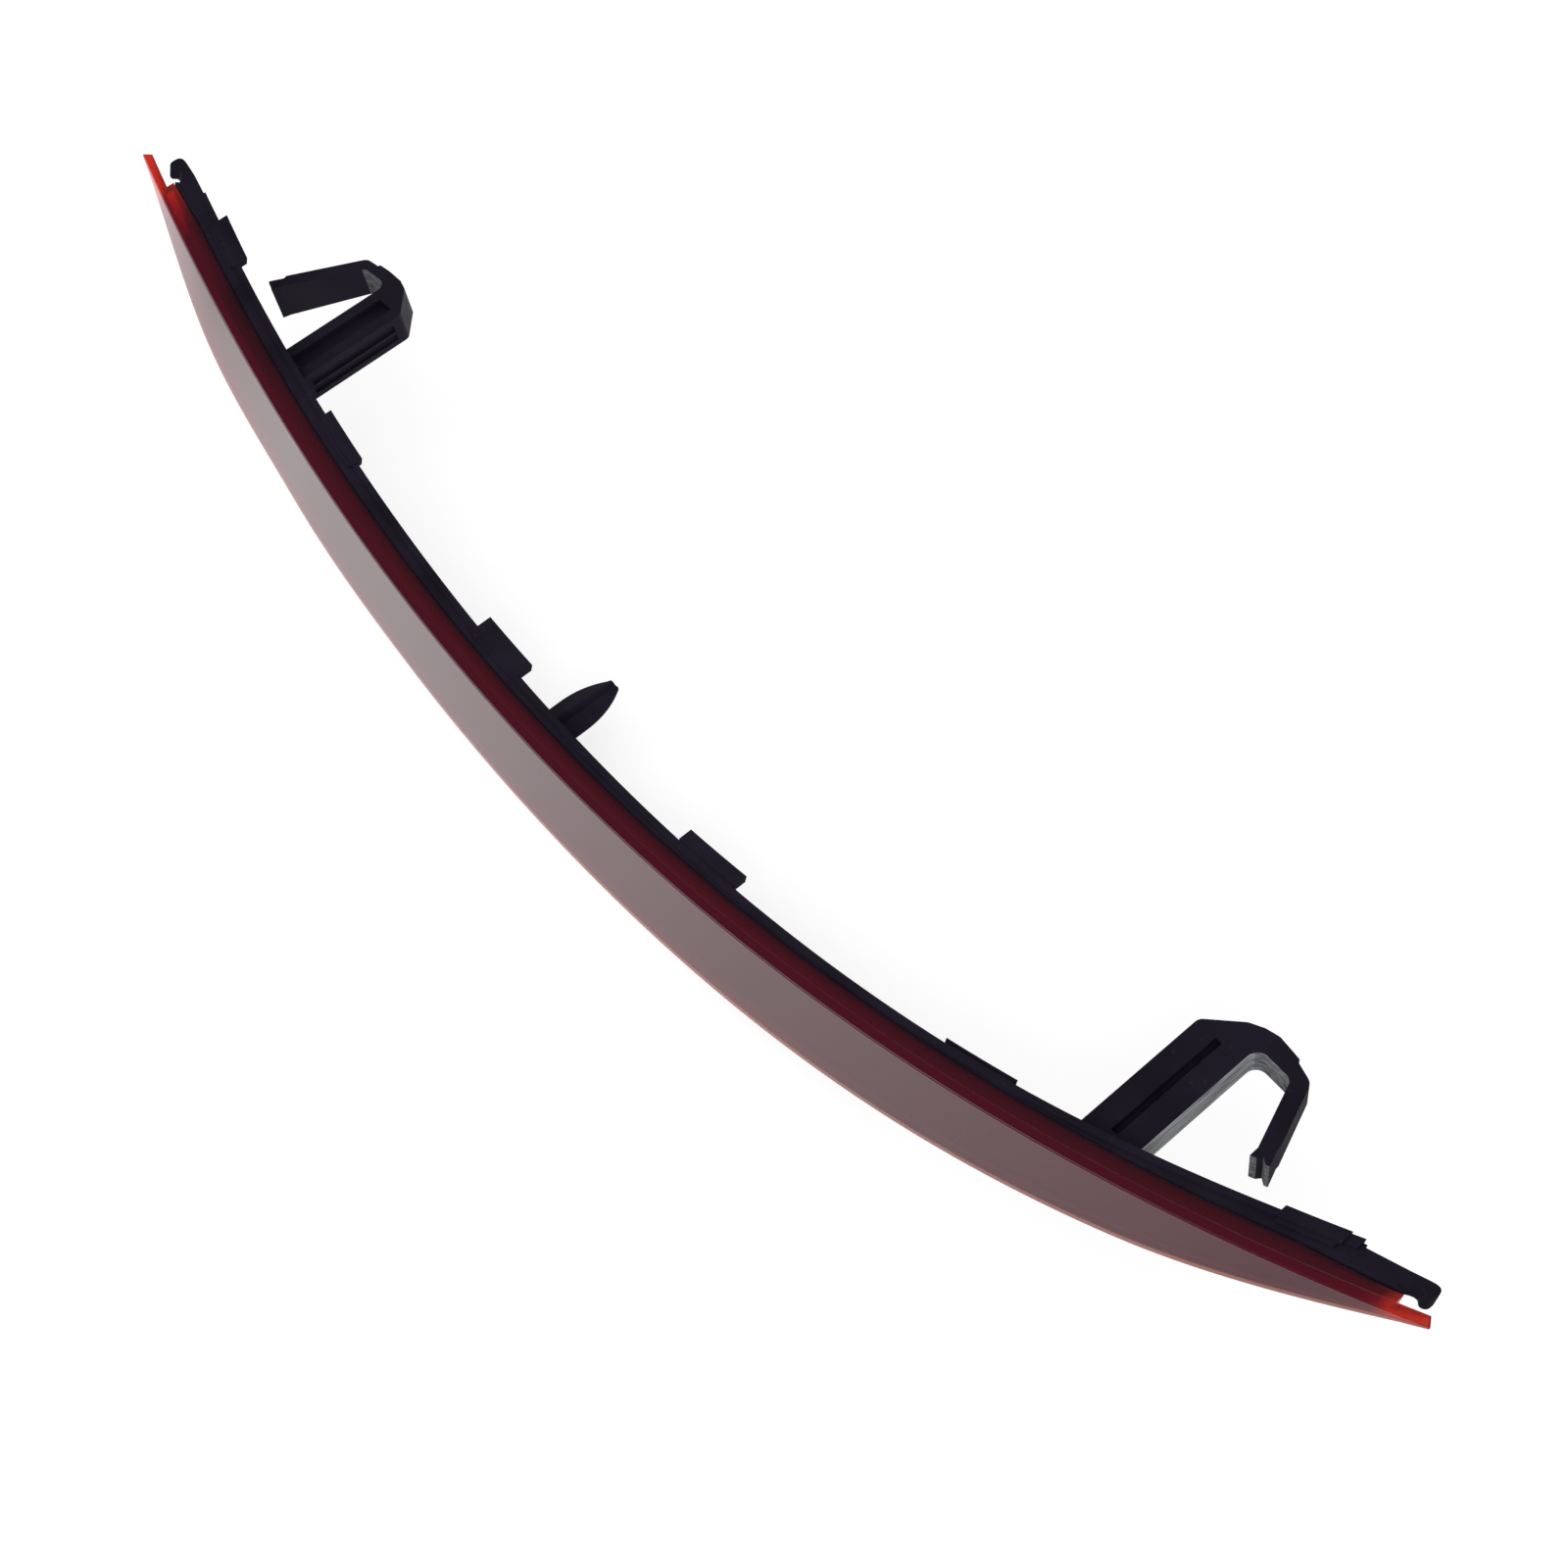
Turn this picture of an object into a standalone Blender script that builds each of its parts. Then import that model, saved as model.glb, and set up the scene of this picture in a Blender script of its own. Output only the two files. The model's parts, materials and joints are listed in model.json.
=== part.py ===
"""High-level stop lamp: a long bowed red lens on a shallow black housing with two spring clips.

X runs along the lamp, -Y is the way the lens faces, +Z is up. The origin is the middle of the flat
rest pad on the back of the housing. Sizes are in millimetres and are turned into metres by MM.
"""

import math

import bmesh
import bpy
from mathutils import Matrix, Vector

MM = 0.001

# Lamp outline: the lens is a pointed, bowed strip
LENGTH = 400.0
PLAN_SAG = 26.9
PLAN_QUARTIC = 0.05
CROWN = 36.0
FACE_HEIGHT = 13.9
TIP_HEIGHT = 1.0
FACE_POWER = 1.88
RAKE = 0.45
DEPTH = 8.4
DEPTH_GAIN = 2.5

# Clearances
FIT = 0.25
SEAT = 0.3
STATION_STEP = 10.0

# Lens
PLATE = 2.2
LENS_DEPTH = 4.2
LENS_WALL = 1.8
LENS_LIP = 0.3
LENS_END = 9.3
LEAST_OPENING = 1.2

# Seal and housing
SEAL_THICK = 0.6
SEAL_WIDTH = 1.5
SEAL_INSET = 0.5
RIM = 2.6
BACK = 1.6
HOUSING_END = 16.0
FLANGE_THICK = 1.4
FLANGE_OUT = 0.5

# Press tabs on the upper edge of the housing: centre, width and overhang behind the rear edge
TABS = (
    (-169.2, 12.4, 1.8),
    (-109.6, 15.4, 2.0),
    (-39.8, 16.7, 3.6),
    (34.8, 17.4, 3.0),
    (109.2, 16.6, 0.8),
    (174.4, 12.9, 0.55),
)
TAB_THICK = 1.5
TAB_PROUD = 0.7
TAB_FRONT = 1.2

# End hooks, each a plate behind the lens tip: (distance from the tip, depth behind the front edge)
HOOK_REAR = ((9.0, 10.0), (5.5, 9.5), (3.8, 9.0), (3.1, 8.1), (2.9, 6.9))
HOOK_CURL = ((3.0, 5.7), (3.6, 5.1), (4.4, 5.3), (4.9, 6.0), (5.3, 6.7), (6.2, 7.1), (7.6, 6.8), (8.5, 5.6))
HOOK_ROOT = 8.0
HOOK_HEIGHT = 3.0

# Spring clips
CLIP_X = 136.3
CLIP_HEIGHT = 7.6
CLIP_DROP = 3.9
LEG_WIDTH = 11.2
LEG_REACH = 36.56
LEG_CHAMFER = 6.6
BRIDGE_THICK = 3.3
HINGE_OUT = 15.4
HINGE_BACK = 2.7
HINGE_RADIUS = 2.0
HINGE_CLEAR = 0.3
TONGUE_THICK = 3.4
TONGUE_LENGTH = {"left": 24.2, "right": 17.4}
TONGUE_FLARE = 2.0
TONGUE_ANGLE = {"left": 31.5, "right": 20.5}
TONGUE_TOE = 4.4
TONGUE_STEP = 0.7
LEG_SLOT_LENGTH = 26.0
LEG_SLOT_DEPTH = 1.2
LEG_SLOT_WIDTH = {"left": 4.8, "right": 1.6}
SIDE_POCKET_HEIGHT = 1.9
SIDE_POCKET_DEPTH = 1.4
SIDE_POCKET_LENGTH = 24.0

# Locating pin and rest pad
PIN_X = -19.6
PIN_DROP = 6.3
PIN_REACH = 18.7
PIN_STRAIGHT = 12.0
PIN_WIDTH = 10.0
PIN_TIP = 3.2
PIN_BLADE = 1.8
PIN_RIB = 3.6
PAD_WIDTH = 22.0
PAD_HEIGHT = 9.0
PAD_DROP = 7.2
PAD_PROUD = 0.4

# Light source
BOARD_HEIGHT = 4.2
BOARD_THICK = 1.0
LED_COUNT = 12
LED_PITCH = 25.0
LED_WIDTH = 3.5
LED_HEIGHT = 2.8
LED_THICK = 0.9
LED_CUP = 1.15
LED_CUP_DEPTH = 0.45
RESISTOR_X = (-75.0, -25.0, 25.0, 75.0)
RESISTOR_SIZE = (3.2, 0.6, 1.6)
DIODE_X = 50.0
DIODE_SIZE = (4.3, 1.1, 2.6)
BEZEL_THICK = 0.9
BEZEL_WALL = 0.8
BEZEL_HOLE = 3.2

# Connector inlet on the back
HEADER_X = 40.0
HEADER_DROP = 7.2
HEADER_WIDTH = 9.4
HEADER_HEIGHT = 4.9
HEADER_PROUD = 2.2
HEADER_WALL = 0.8
HEADER_FLOOR = 0.9
TERMINAL_PITCH = 4.0
TERMINAL_WIDTH = 1.8
TERMINAL_THICK = 0.6
TERMINAL_SHORT = 0.6

HALF = LENGTH / 2
ROUND_STEPS = 20
CUT_OVER = 1.0


def share(x):
    """Square of the distance from the middle, as a share of the half length."""
    return (x / HALF) ** 2


def crown(x):
    return CROWN * share(x)


def front(x):
    u = share(x)
    return -DEPTH + PLAN_SAG * ((1 - PLAN_QUARTIC) * u + PLAN_QUARTIC * u * u)


def face_height(x):
    return TIP_HEIGHT + (FACE_HEIGHT - TIP_HEIGHT) * (1 - share(x) ** FACE_POWER)


def reach(height):
    """How far from the middle the lens face is still this high."""
    taken = (height - TIP_HEIGHT) / (FACE_HEIGHT - TIP_HEIGHT)
    return HALF * (1 - taken) ** (0.5 / FACE_POWER)


def opening_end(wall):
    """Where a hollow with this wall above and below it has closed to the least opening."""
    return reach(2 * wall + LEAST_OPENING)


def depth(x):
    return DEPTH + DEPTH_GAIN * share(x) ** 2


def place(x, d, h):
    """The point d behind the lens's upper front edge and h below it, at x, in metres."""
    y = front(x) + d - RAKE * h - PAD_PROUD
    z = crown(x) - h + PAD_DROP
    return Vector((x, y, z)) * MM


def section_frame(x, d, h):
    """A matrix at place(x, d, h): X along the lamp, Y to its back, Z up the section."""
    along = (place(x + 0.5, d, h) - place(x - 0.5, d, h)).normalized()
    up = Vector((0, RAKE, 1))
    up = (up - along * up.dot(along)).normalized()
    back = up.cross(along)
    matrix = Matrix((along, back, up)).transposed().to_4x4()
    matrix.translation = place(x, d, h)
    return matrix


def material(name, colour, roughness, metallic=0.0, transmission=0.0):
    made = bpy.data.materials.new(name)
    made.use_nodes = True
    shader = made.node_tree.nodes["Principled BSDF"]
    shader.inputs["Base Color"].default_value = (*colour, 1)
    shader.inputs["Roughness"].default_value = roughness
    shader.inputs["Metallic"].default_value = metallic
    shader.inputs["Transmission Weight"].default_value = transmission
    return made


def new_collection(name):
    made = bpy.data.collections.new(name)
    bpy.context.scene.collection.children.link(made)
    return made


def clear_scene():
    for obj in list(bpy.data.objects):
        bpy.data.objects.remove(obj)


def add_mesh(name, mesh_maker, collection, finish=None):
    mesh = bpy.data.meshes.new(name)
    bm = bmesh.new()
    mesh_maker(bm)
    bmesh.ops.recalc_face_normals(bm, faces=bm.faces)
    bm.to_mesh(mesh)
    bm.free()
    obj = bpy.data.objects.new(name, mesh)
    collection.objects.link(obj)
    if finish:
        mesh.materials.append(finish)
    else:
        obj.hide_render = True
        obj.display_type = "WIRE"
    return obj


def stations(x0, x1):
    count = max(2, math.ceil((x1 - x0) / STATION_STEP) + 1)
    return [x0 + (x1 - x0) * i / (count - 1) for i in range(count)]


def bowed_bar(x0, x1, corners):
    """A bar along the lamp's bow. corners(x) gives its section as four (depth, drop) points."""

    def build(bm):
        rings = [[bm.verts.new(place(x, d, h)) for d, h in corners(x)] for x in stations(x0, x1)]
        for near, far in zip(rings, rings[1:]):
            for i in range(len(near)):
                j = (i + 1) % len(near)
                bm.faces.new((near[i], near[j], far[j], far[i]))
        bm.faces.new(rings[0])
        bm.faces.new(rings[-1][::-1])

    return build


def block(d0, d1, h0, h1):
    """A section for bowed_bar whose limits are numbers or functions of x."""

    def at(value, x):
        return value(x) if callable(value) else value

    def corners(x):
        a, b, c, d = at(d0, x), at(d1, x), at(h0, x), at(h1, x)
        return ((a, c), (b, c), (b, d), (a, d))

    return corners


def extruded(points, z0, z1):
    """A prism on a plan outline of (x, y) points, between two heights in the lamp's own frame."""

    def build(bm):
        base = bm.faces.new([bm.verts.new(Vector((x, y, z0)) * MM) for x, y in points])
        raised = bmesh.ops.extrude_face_region(bm, geom=[base])["geom"]
        up = Vector((0, 0, z1 - z0)) * MM
        bmesh.ops.translate(bm, vec=up, verts=[v for v in raised if isinstance(v, bmesh.types.BMVert)])

    return build


def box(matrix, size):
    def build(bm):
        scale = Matrix.Diagonal((*(s * MM for s in size), 1))
        bmesh.ops.create_cube(bm, size=1, matrix=matrix @ scale)

    return build


def cylinder(matrix, radius, length):
    def build(bm):
        bmesh.ops.create_cone(
            bm, cap_ends=True, segments=ROUND_STEPS, radius1=radius * MM, radius2=radius * MM,
            depth=length * MM, matrix=matrix,
        )

    return build


def combine(obj, other, operation):
    modifier = obj.modifiers.new(operation.title() + " " + other.name, "BOOLEAN")
    modifier.object = other
    modifier.operation = operation
    modifier.solver = "EXACT"


def arc(centre, radius, start, end, steps=6):
    """Points on an arc, with angles in degrees."""
    turns = [math.radians(start + (end - start) * i / steps) for i in range(steps + 1)]
    return [(centre[0] + radius * math.cos(t), centre[1] + radius * math.sin(t)) for t in turns]


def mirrored(points, side):
    return [(side * x, y) for x, y in points]


# Where the clips, pin and hooks stand, in the lamp's own frame


def back_y(x, drop):
    """Y of the housing's back at x, drop below its upper edge."""
    return place(x, depth(x), drop).y / MM


def top_z(x):
    return place(x, 0, 0).z / MM


def clip_top():
    return top_z(CLIP_X) - CLIP_DROP


def leg_end():
    return back_y(CLIP_X, CLIP_DROP) + LEG_REACH


def hinge_centre():
    return (CLIP_X + HINGE_OUT, leg_end() - HINGE_BACK)


def clip_leg_outline():
    """Leg and bridge of the right clip, seen from above, cut later by the hinge seat."""
    inner = CLIP_X - LEG_WIDTH / 2
    outer = CLIP_X + LEG_WIDTH / 2
    end = leg_end()
    root = back_y(CLIP_X, CLIP_DROP + CLIP_HEIGHT) - BACK / 2
    hinge_x, hinge_y = hinge_centre()
    inner_bend = BRIDGE_THICK / 2
    return [
        (inner, root),
        (inner, end - LEG_CHAMFER),
        (inner + LEG_CHAMFER, end - LEG_CHAMFER / 8),
        (outer - inner_bend, end),
        (outer + BRIDGE_THICK, end),
        (hinge_x, hinge_y + HINGE_RADIUS),
        (hinge_x, hinge_y),
        (hinge_x - HINGE_RADIUS, hinge_y - HINGE_RADIUS / 2),
        (outer + inner_bend, end - BRIDGE_THICK),
        (outer, end - BRIDGE_THICK - inner_bend),
        (outer, root),
    ]


def tongue_outline(length, angle):
    """Tongue of the right clip: a round root on the hinge axis and an arm with a stepped toe."""
    hinge = Vector(hinge_centre())
    lean = math.radians(angle)
    down = Vector((math.sin(lean), -math.cos(lean)))
    side = Vector((down.y, -down.x))
    half = TONGUE_THICK / 2
    toe = length - TONGUE_TOE
    bend = math.degrees(math.asin(half / HINGE_RADIUS))
    aim = -90 + angle
    root = arc(hinge, HINGE_RADIUS, aim + bend, aim + 360 - bend, ROUND_STEPS)
    arm = [
        hinge + down * toe + side * half,
        hinge + down * (toe + TONGUE_STEP) + side * (half - TONGUE_STEP),
        hinge + down * length + side * (half - TONGUE_STEP),
        hinge + down * length - side * (half - TONGUE_STEP),
        hinge + down * (toe + TONGUE_STEP) - side * (half - TONGUE_STEP),
        hinge + down * toe - side * half,
    ]
    return root + [tuple(p) for p in arm]


def bowed_plate(points, h0, h1):
    """A plate on an outline of (x, depth) points, whose two faces follow the lamp's crown."""

    def build(bm):
        upper = [bm.verts.new((x, d, h0)) for x, d in points]
        lower = [bm.verts.new((x, d, h1)) for x, d in points]
        for i in range(len(points)):
            j = (i + 1) % len(points)
            bm.faces.new((upper[i], upper[j], lower[j], lower[i]))
        bm.faces.new(upper)
        bm.faces.new(lower[::-1])
        bmesh.ops.triangulate(bm, faces=bm.faces)
        for vertex in bm.verts:
            vertex.co = place(*vertex.co)

    return build


def hook_outline():
    """Hook on the right end: it follows the rear edge outwards and curls towards the lens."""
    start = HALF - HOUSING_END
    root = start - HOOK_ROOT
    wall_end = HALF - LENS_END + SEAT
    behind_wall = LENS_DEPTH + SEAT
    curl = [(HALF - out, d) for out, d in HOOK_REAR + HOOK_CURL]
    return [
        (root, housing_front() + SEAT),
        (root, depth(root) - SEAT),
        (start, depth(start) - SEAT),
        *curl,
        (wall_end, behind_wall),
        (start + SEAT, behind_wall),
        (start - SEAT, housing_front() + SEAT),
    ]


def build_lens(parts, cutters, finish):
    wall_top = LENS_LIP + LENS_WALL

    def bottom(inset):
        return lambda x: face_height(x) - inset

    lens = add_mesh("lens", bowed_bar(-HALF, HALF, block(0, PLATE, 0, face_height)), parts, finish)
    wall_end = HALF - LENS_END
    skirt = add_mesh(
        "lens_skirt",
        bowed_bar(-wall_end, wall_end, block(PLATE / 2, LENS_DEPTH, LENS_LIP, bottom(LENS_LIP))),
        cutters,
    )
    hollow_end = opening_end(wall_top)
    hollow = add_mesh(
        "lens_hollow",
        bowed_bar(-hollow_end, hollow_end, block(PLATE, LENS_DEPTH + CUT_OVER, wall_top, bottom(wall_top))),
        cutters,
    )
    combine(lens, skirt, "UNION")
    combine(lens, hollow, "DIFFERENCE")
    return lens


def build_seal(parts, cutters, finish):
    front_d = LENS_DEPTH + FIT
    back_d = front_d + SEAL_THICK
    inner = SEAL_INSET + SEAL_WIDTH
    end = HALF - HOUSING_END - SEAL_INSET
    hollow_end = min(opening_end(inner), end - SEAL_WIDTH)
    seal = add_mesh(
        "lens_seal",
        bowed_bar(-end, end, block(front_d, back_d, SEAL_INSET, lambda x: face_height(x) - SEAL_INSET)),
        parts,
        finish,
    )
    opening = block(front_d - CUT_OVER, back_d + CUT_OVER, inner, lambda x: face_height(x) - inner)
    hole = add_mesh("seal_opening", bowed_bar(-hollow_end, hollow_end, opening), cutters)
    combine(seal, hole, "DIFFERENCE")


def housing_front():
    return LENS_DEPTH + SEAL_THICK + 2 * FIT


def build_housing(parts, cutters, finish):
    end = HALF - HOUSING_END
    housing = add_mesh(
        "rear_housing",
        bowed_bar(-end, end, block(housing_front(), depth, 0, face_height)),
        parts,
        finish,
    )
    flange = block(
        lambda x: depth(x) - FLANGE_THICK,
        lambda x: depth(x) - FIT / 2,
        -FLANGE_OUT,
        lambda x: face_height(x) + FLANGE_OUT,
    )
    combine(housing, add_mesh("rear_flange", bowed_bar(-end + FIT, end - FIT, flange), cutters), "UNION")
    add_tabs(housing, cutters)
    sides = ((-1, "left"), (1, "right"))
    for side, word in sides:
        hook = bowed_plate(mirrored(hook_outline(), side), FIT / 2, HOOK_HEIGHT)
        combine(housing, add_mesh(word + "_hook", hook, cutters), "UNION")
    for side, word in sides:
        add_clip_leg(housing, cutters, side, word)
    add_pin_and_pad(housing, cutters)
    hollow_end = opening_end(RIM)
    cavity = block(0, lambda x: depth(x) - BACK, RIM, lambda x: face_height(x) - RIM)
    hollow = bowed_bar(-hollow_end, hollow_end, cavity)
    combine(housing, add_mesh("housing_hollow", hollow, cutters), "DIFFERENCE")
    window = add_mesh(
        "inlet_window",
        box(header_matrix(depth(HEADER_X)), (HEADER_WIDTH + 2 * SEAT, 4 * BACK, HEADER_HEIGHT + 2 * SEAT)),
        cutters,
    )
    combine(housing, window, "DIFFERENCE")
    return housing


def add_tabs(housing, cutters):
    for number, (centre, width, overhang) in enumerate(TABS, 1):
        section = block(
            housing_front() + TAB_FRONT,
            lambda x, over=overhang: depth(x) + over,
            -TAB_PROUD,
            TAB_THICK - TAB_PROUD,
        )
        tab = bowed_bar(centre - width / 2, centre + width / 2, section)
        combine(housing, add_mesh(f"tab_{number}", tab, cutters), "UNION")


def add_clip_leg(housing, cutters, side, word):
    top = clip_top()
    leg = extruded(mirrored(clip_leg_outline(), side), top - CLIP_HEIGHT, top)
    combine(housing, add_mesh(word + "_clip_leg", leg, cutters), "UNION")
    hinge_x, hinge_y = hinge_centre()
    axis = Matrix.Translation(Vector((side * hinge_x, hinge_y, top - CLIP_HEIGHT / 2)) * MM)
    seat = cylinder(axis, HINGE_RADIUS + HINGE_CLEAR, CLIP_HEIGHT + 2 * CUT_OVER)
    combine(housing, add_mesh(word + "_hinge_seat", seat, cutters), "DIFFERENCE")
    slot_y = back_y(CLIP_X, 0) + BACK + LEG_SLOT_LENGTH / 2
    slot_at = Matrix.Translation(Vector((side * CLIP_X, slot_y, top)) * MM)
    slot = box(slot_at, (LEG_SLOT_WIDTH[word], LEG_SLOT_LENGTH, 2 * LEG_SLOT_DEPTH))
    combine(housing, add_mesh(word + "_leg_slot", slot, cutters), "DIFFERENCE")
    pocket_x = side * (CLIP_X - LEG_WIDTH / 2)
    pocket_y = back_y(CLIP_X, 0) + BACK + SIDE_POCKET_LENGTH / 2
    for number in (1, 2):
        pocket_z = top - CLIP_HEIGHT + number * CLIP_HEIGHT / 3
        pocket_at = Matrix.Translation(Vector((pocket_x, pocket_y, pocket_z - SIDE_POCKET_HEIGHT / 8)) * MM)
        pocket = box(pocket_at, (2 * SIDE_POCKET_DEPTH, SIDE_POCKET_LENGTH, SIDE_POCKET_HEIGHT))
        combine(housing, add_mesh(f"{word}_side_pocket_{number}", pocket, cutters), "DIFFERENCE")


def add_pin_and_pad(housing, cutters):
    pin_z = top_z(PIN_X) - PIN_DROP
    root = back_y(PIN_X, PIN_DROP + PIN_RIB / 2) - BACK / 2
    shoulder = back_y(PIN_X, PIN_DROP) + PIN_STRAIGHT
    tip = back_y(PIN_X, PIN_DROP) + PIN_REACH
    blade = [
        (PIN_X - PIN_WIDTH / 2, root),
        (PIN_X + PIN_WIDTH / 2, root),
        (PIN_X + PIN_WIDTH / 2, shoulder),
        (PIN_X + PIN_TIP / 2, tip),
        (PIN_X - PIN_TIP / 2, tip),
        (PIN_X - PIN_WIDTH / 2, shoulder),
    ]
    flat = extruded(blade, pin_z - PIN_BLADE / 2, pin_z + PIN_BLADE / 2)
    combine(housing, add_mesh("pin_blade", flat, cutters), "UNION")
    rib = [
        (-PIN_RIB / 2, root),
        (PIN_RIB / 2, root),
        (PIN_RIB / 2, shoulder),
        (PIN_BLADE / 2, tip - FIT),
        (-PIN_BLADE / 2, tip - FIT),
        (-PIN_RIB / 2, shoulder),
    ]
    upright = add_mesh("pin_rib", extruded(rib, -PIN_BLADE / 2, PIN_BLADE / 2), cutters)
    turn = Matrix.Rotation(math.pi / 2, 4, "Y")
    upright.data.transform(Matrix.Translation(Vector((PIN_X, 0, pin_z)) * MM) @ turn)
    combine(housing, upright, "UNION")
    pad_back = back_y(0, PAD_DROP + PAD_HEIGHT / 2) - BACK / 2
    pad_at = Matrix.Translation(Vector((0, pad_back / 2, 0)) * MM)
    pad = box(pad_at, (PAD_WIDTH, -pad_back, PAD_HEIGHT))
    combine(housing, add_mesh("rest_pad", pad, cutters), "UNION")


def build_tongues(parts, finish):
    hinge_x, hinge_y = hinge_centre()
    for side, word in ((-1, "left"), (1, "right")):
        top = clip_top()
        pivot = bpy.data.objects.new(word + "_clip_axis", None)
        pivot.location = Vector((side * hinge_x, hinge_y, top - CLIP_HEIGHT / 2)) * MM
        parts.objects.link(pivot)
        outline = mirrored(tongue_outline(TONGUE_LENGTH[word], TONGUE_ANGLE[word]), side)
        tongue = add_mesh(word + "_clip_tongue", extruded(outline, top - CLIP_HEIGHT, top), parts, finish)
        for vertex in tongue.data.vertices:
            run = (hinge_y - vertex.co.y / MM) / TONGUE_LENGTH[word]
            if vertex.co.z < (top - CLIP_HEIGHT / 2) * MM and run > 0.2:
                vertex.co.z -= TONGUE_FLARE * run * MM
        tongue.parent = pivot
        tongue.matrix_parent_inverse = Matrix.Translation(-pivot.location)


def board_front(x):
    return depth(x) - BACK - FIT - BOARD_THICK


def build_board(parts, finish):
    section = block(
        board_front,
        lambda x: board_front(x) + BOARD_THICK,
        lambda x: face_height(x) / 2 - BOARD_HEIGHT / 2,
        lambda x: face_height(x) / 2 + BOARD_HEIGHT / 2,
    )
    end = reach(BOARD_HEIGHT + 2 * (RIM + SEAT))
    add_mesh("led_board", bowed_bar(-end, end, section), parts, finish)


def on_board(x, thick):
    """A frame at the middle of a component of this thickness that sits on the board at x."""
    return section_frame(x, board_front(x) - FIT - thick / 2, face_height(x) / 2)


def led_places():
    return [(i - (LED_COUNT - 1) / 2) * LED_PITCH for i in range(LED_COUNT)]


def build_leds(parts, cutters, finish):
    tilt = Matrix.Rotation(math.pi / 2, 4, "X")
    for number, x in enumerate(led_places(), 1):
        at = on_board(x, LED_THICK)
        led = add_mesh(f"led_{number:02d}", box(at, (LED_WIDTH, LED_THICK, LED_HEIGHT)), parts, finish)
        cup_at = at @ Matrix.Translation(Vector((0, -LED_THICK / 2, 0)) * MM) @ tilt
        cup = cylinder(cup_at, LED_CUP, 2 * LED_CUP_DEPTH)
        combine(led, add_mesh(f"led_cup_{number:02d}", cup, cutters), "DIFFERENCE")


def build_components(parts, resistor_finish, diode_finish):
    for number, x in enumerate(RESISTOR_X, 1):
        body = box(on_board(x, RESISTOR_SIZE[1]), RESISTOR_SIZE)
        add_mesh(f"resistor_{number}", body, parts, resistor_finish)
    add_mesh("diode", box(on_board(DIODE_X, DIODE_SIZE[1]), DIODE_SIZE), parts, diode_finish)


def build_bezel(parts, cutters, finish):
    """A black mask in front of the board: it hides the board and leaves a round hole for each lamp."""
    front_d = PLATE + SEAT
    back_d = housing_front() - FIT
    edge = LENS_LIP + LENS_WALL + SEAT
    inner = edge + BEZEL_WALL
    end = opening_end(inner)
    bezel = add_mesh(
        "led_bezel",
        bowed_bar(-end, end, block(front_d, back_d, edge, lambda x: face_height(x) - edge)),
        parts,
        finish,
    )
    inside = block(front_d + BEZEL_THICK, back_d + CUT_OVER, inner, lambda x: face_height(x) - inner)
    inner_end = end - BEZEL_WALL
    hollow = add_mesh("bezel_hollow", bowed_bar(-inner_end, inner_end, inside), cutters)
    combine(bezel, hollow, "DIFFERENCE")
    tilt = Matrix.Rotation(math.pi / 2, 4, "X")
    for number, x in enumerate(led_places(), 1):
        at = section_frame(x, front_d + BEZEL_THICK / 2, face_height(x) / 2) @ tilt
        hole = cylinder(at, BEZEL_HOLE / 2 + SEAT, BEZEL_THICK + 2 * CUT_OVER)
        combine(bezel, add_mesh(f"bezel_hole_{number:02d}", hole, cutters), "DIFFERENCE")


def header_matrix(d):
    return section_frame(HEADER_X, d, HEADER_DROP)


def build_connector(parts, cutters, body_finish, metal_finish):
    front_d = board_front(HEADER_X) + BOARD_THICK + FIT
    back_d = depth(HEADER_X) + HEADER_PROUD
    length = back_d - front_d
    size = (HEADER_WIDTH, length, HEADER_HEIGHT)
    header = add_mesh("connector_header", box(header_matrix(front_d + length / 2), size), parts, body_finish)
    floor_d = front_d + HEADER_FLOOR
    pocket_length = back_d - floor_d + CUT_OVER
    pocket_size = (HEADER_WIDTH - 2 * HEADER_WALL, pocket_length, HEADER_HEIGHT - 2 * HEADER_WALL)
    pocket = box(header_matrix(floor_d + pocket_length / 2), pocket_size)
    combine(header, add_mesh("header_pocket", pocket, cutters), "DIFFERENCE")
    start_d = floor_d + FIT
    blade_length = back_d - TERMINAL_SHORT - start_d
    for side, word in ((-1, "supply"), (1, "ground")):
        shift = Matrix.Translation(Vector((side * TERMINAL_PITCH / 2, 0, 0)) * MM)
        at = header_matrix(start_d + blade_length / 2) @ shift
        blade = box(at, (TERMINAL_WIDTH, blade_length, TERMINAL_THICK))
        add_mesh(word + "_terminal", blade, parts, metal_finish)


def main():
    clear_scene()
    parts = new_collection("high_level_stop_lamp")
    cutters = new_collection("cutters")
    red = material("red_lens", (0.45, 0.01, 0.012), 0.08, transmission=0.9)
    black = material("black_plastic", (0.012, 0.011, 0.014), 0.42)
    rubber = material("seal_rubber", (0.01, 0.01, 0.01), 0.7)
    dark = material("bezel_plastic", (0.02, 0.02, 0.022), 0.5)
    board = material("board_laminate", (0.02, 0.06, 0.035), 0.45)
    chip = material("lamp_package", (0.75, 0.72, 0.62), 0.4)
    ceramic = material("resistor_ceramic", (0.05, 0.05, 0.055), 0.5)
    moulded = material("header_plastic", (0.03, 0.03, 0.032), 0.5)
    tinned = material("tinned_brass", (0.65, 0.6, 0.5), 0.3, metallic=1.0)
    build_lens(parts, cutters, red)
    build_seal(parts, cutters, rubber)
    build_housing(parts, cutters, black)
    build_tongues(parts, black)
    build_bezel(parts, cutters, dark)
    build_board(parts, board)
    build_leds(parts, cutters, chip)
    build_components(parts, ceramic, ceramic)
    build_connector(parts, cutters, moulded, tinned)


main()
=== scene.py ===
"""High-level stop lamp: the packed model dressed with its red lens, black mouldings and spring clips."""

import json
import math

import bmesh
import bpy
from mathutils import Matrix, Vector


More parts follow.
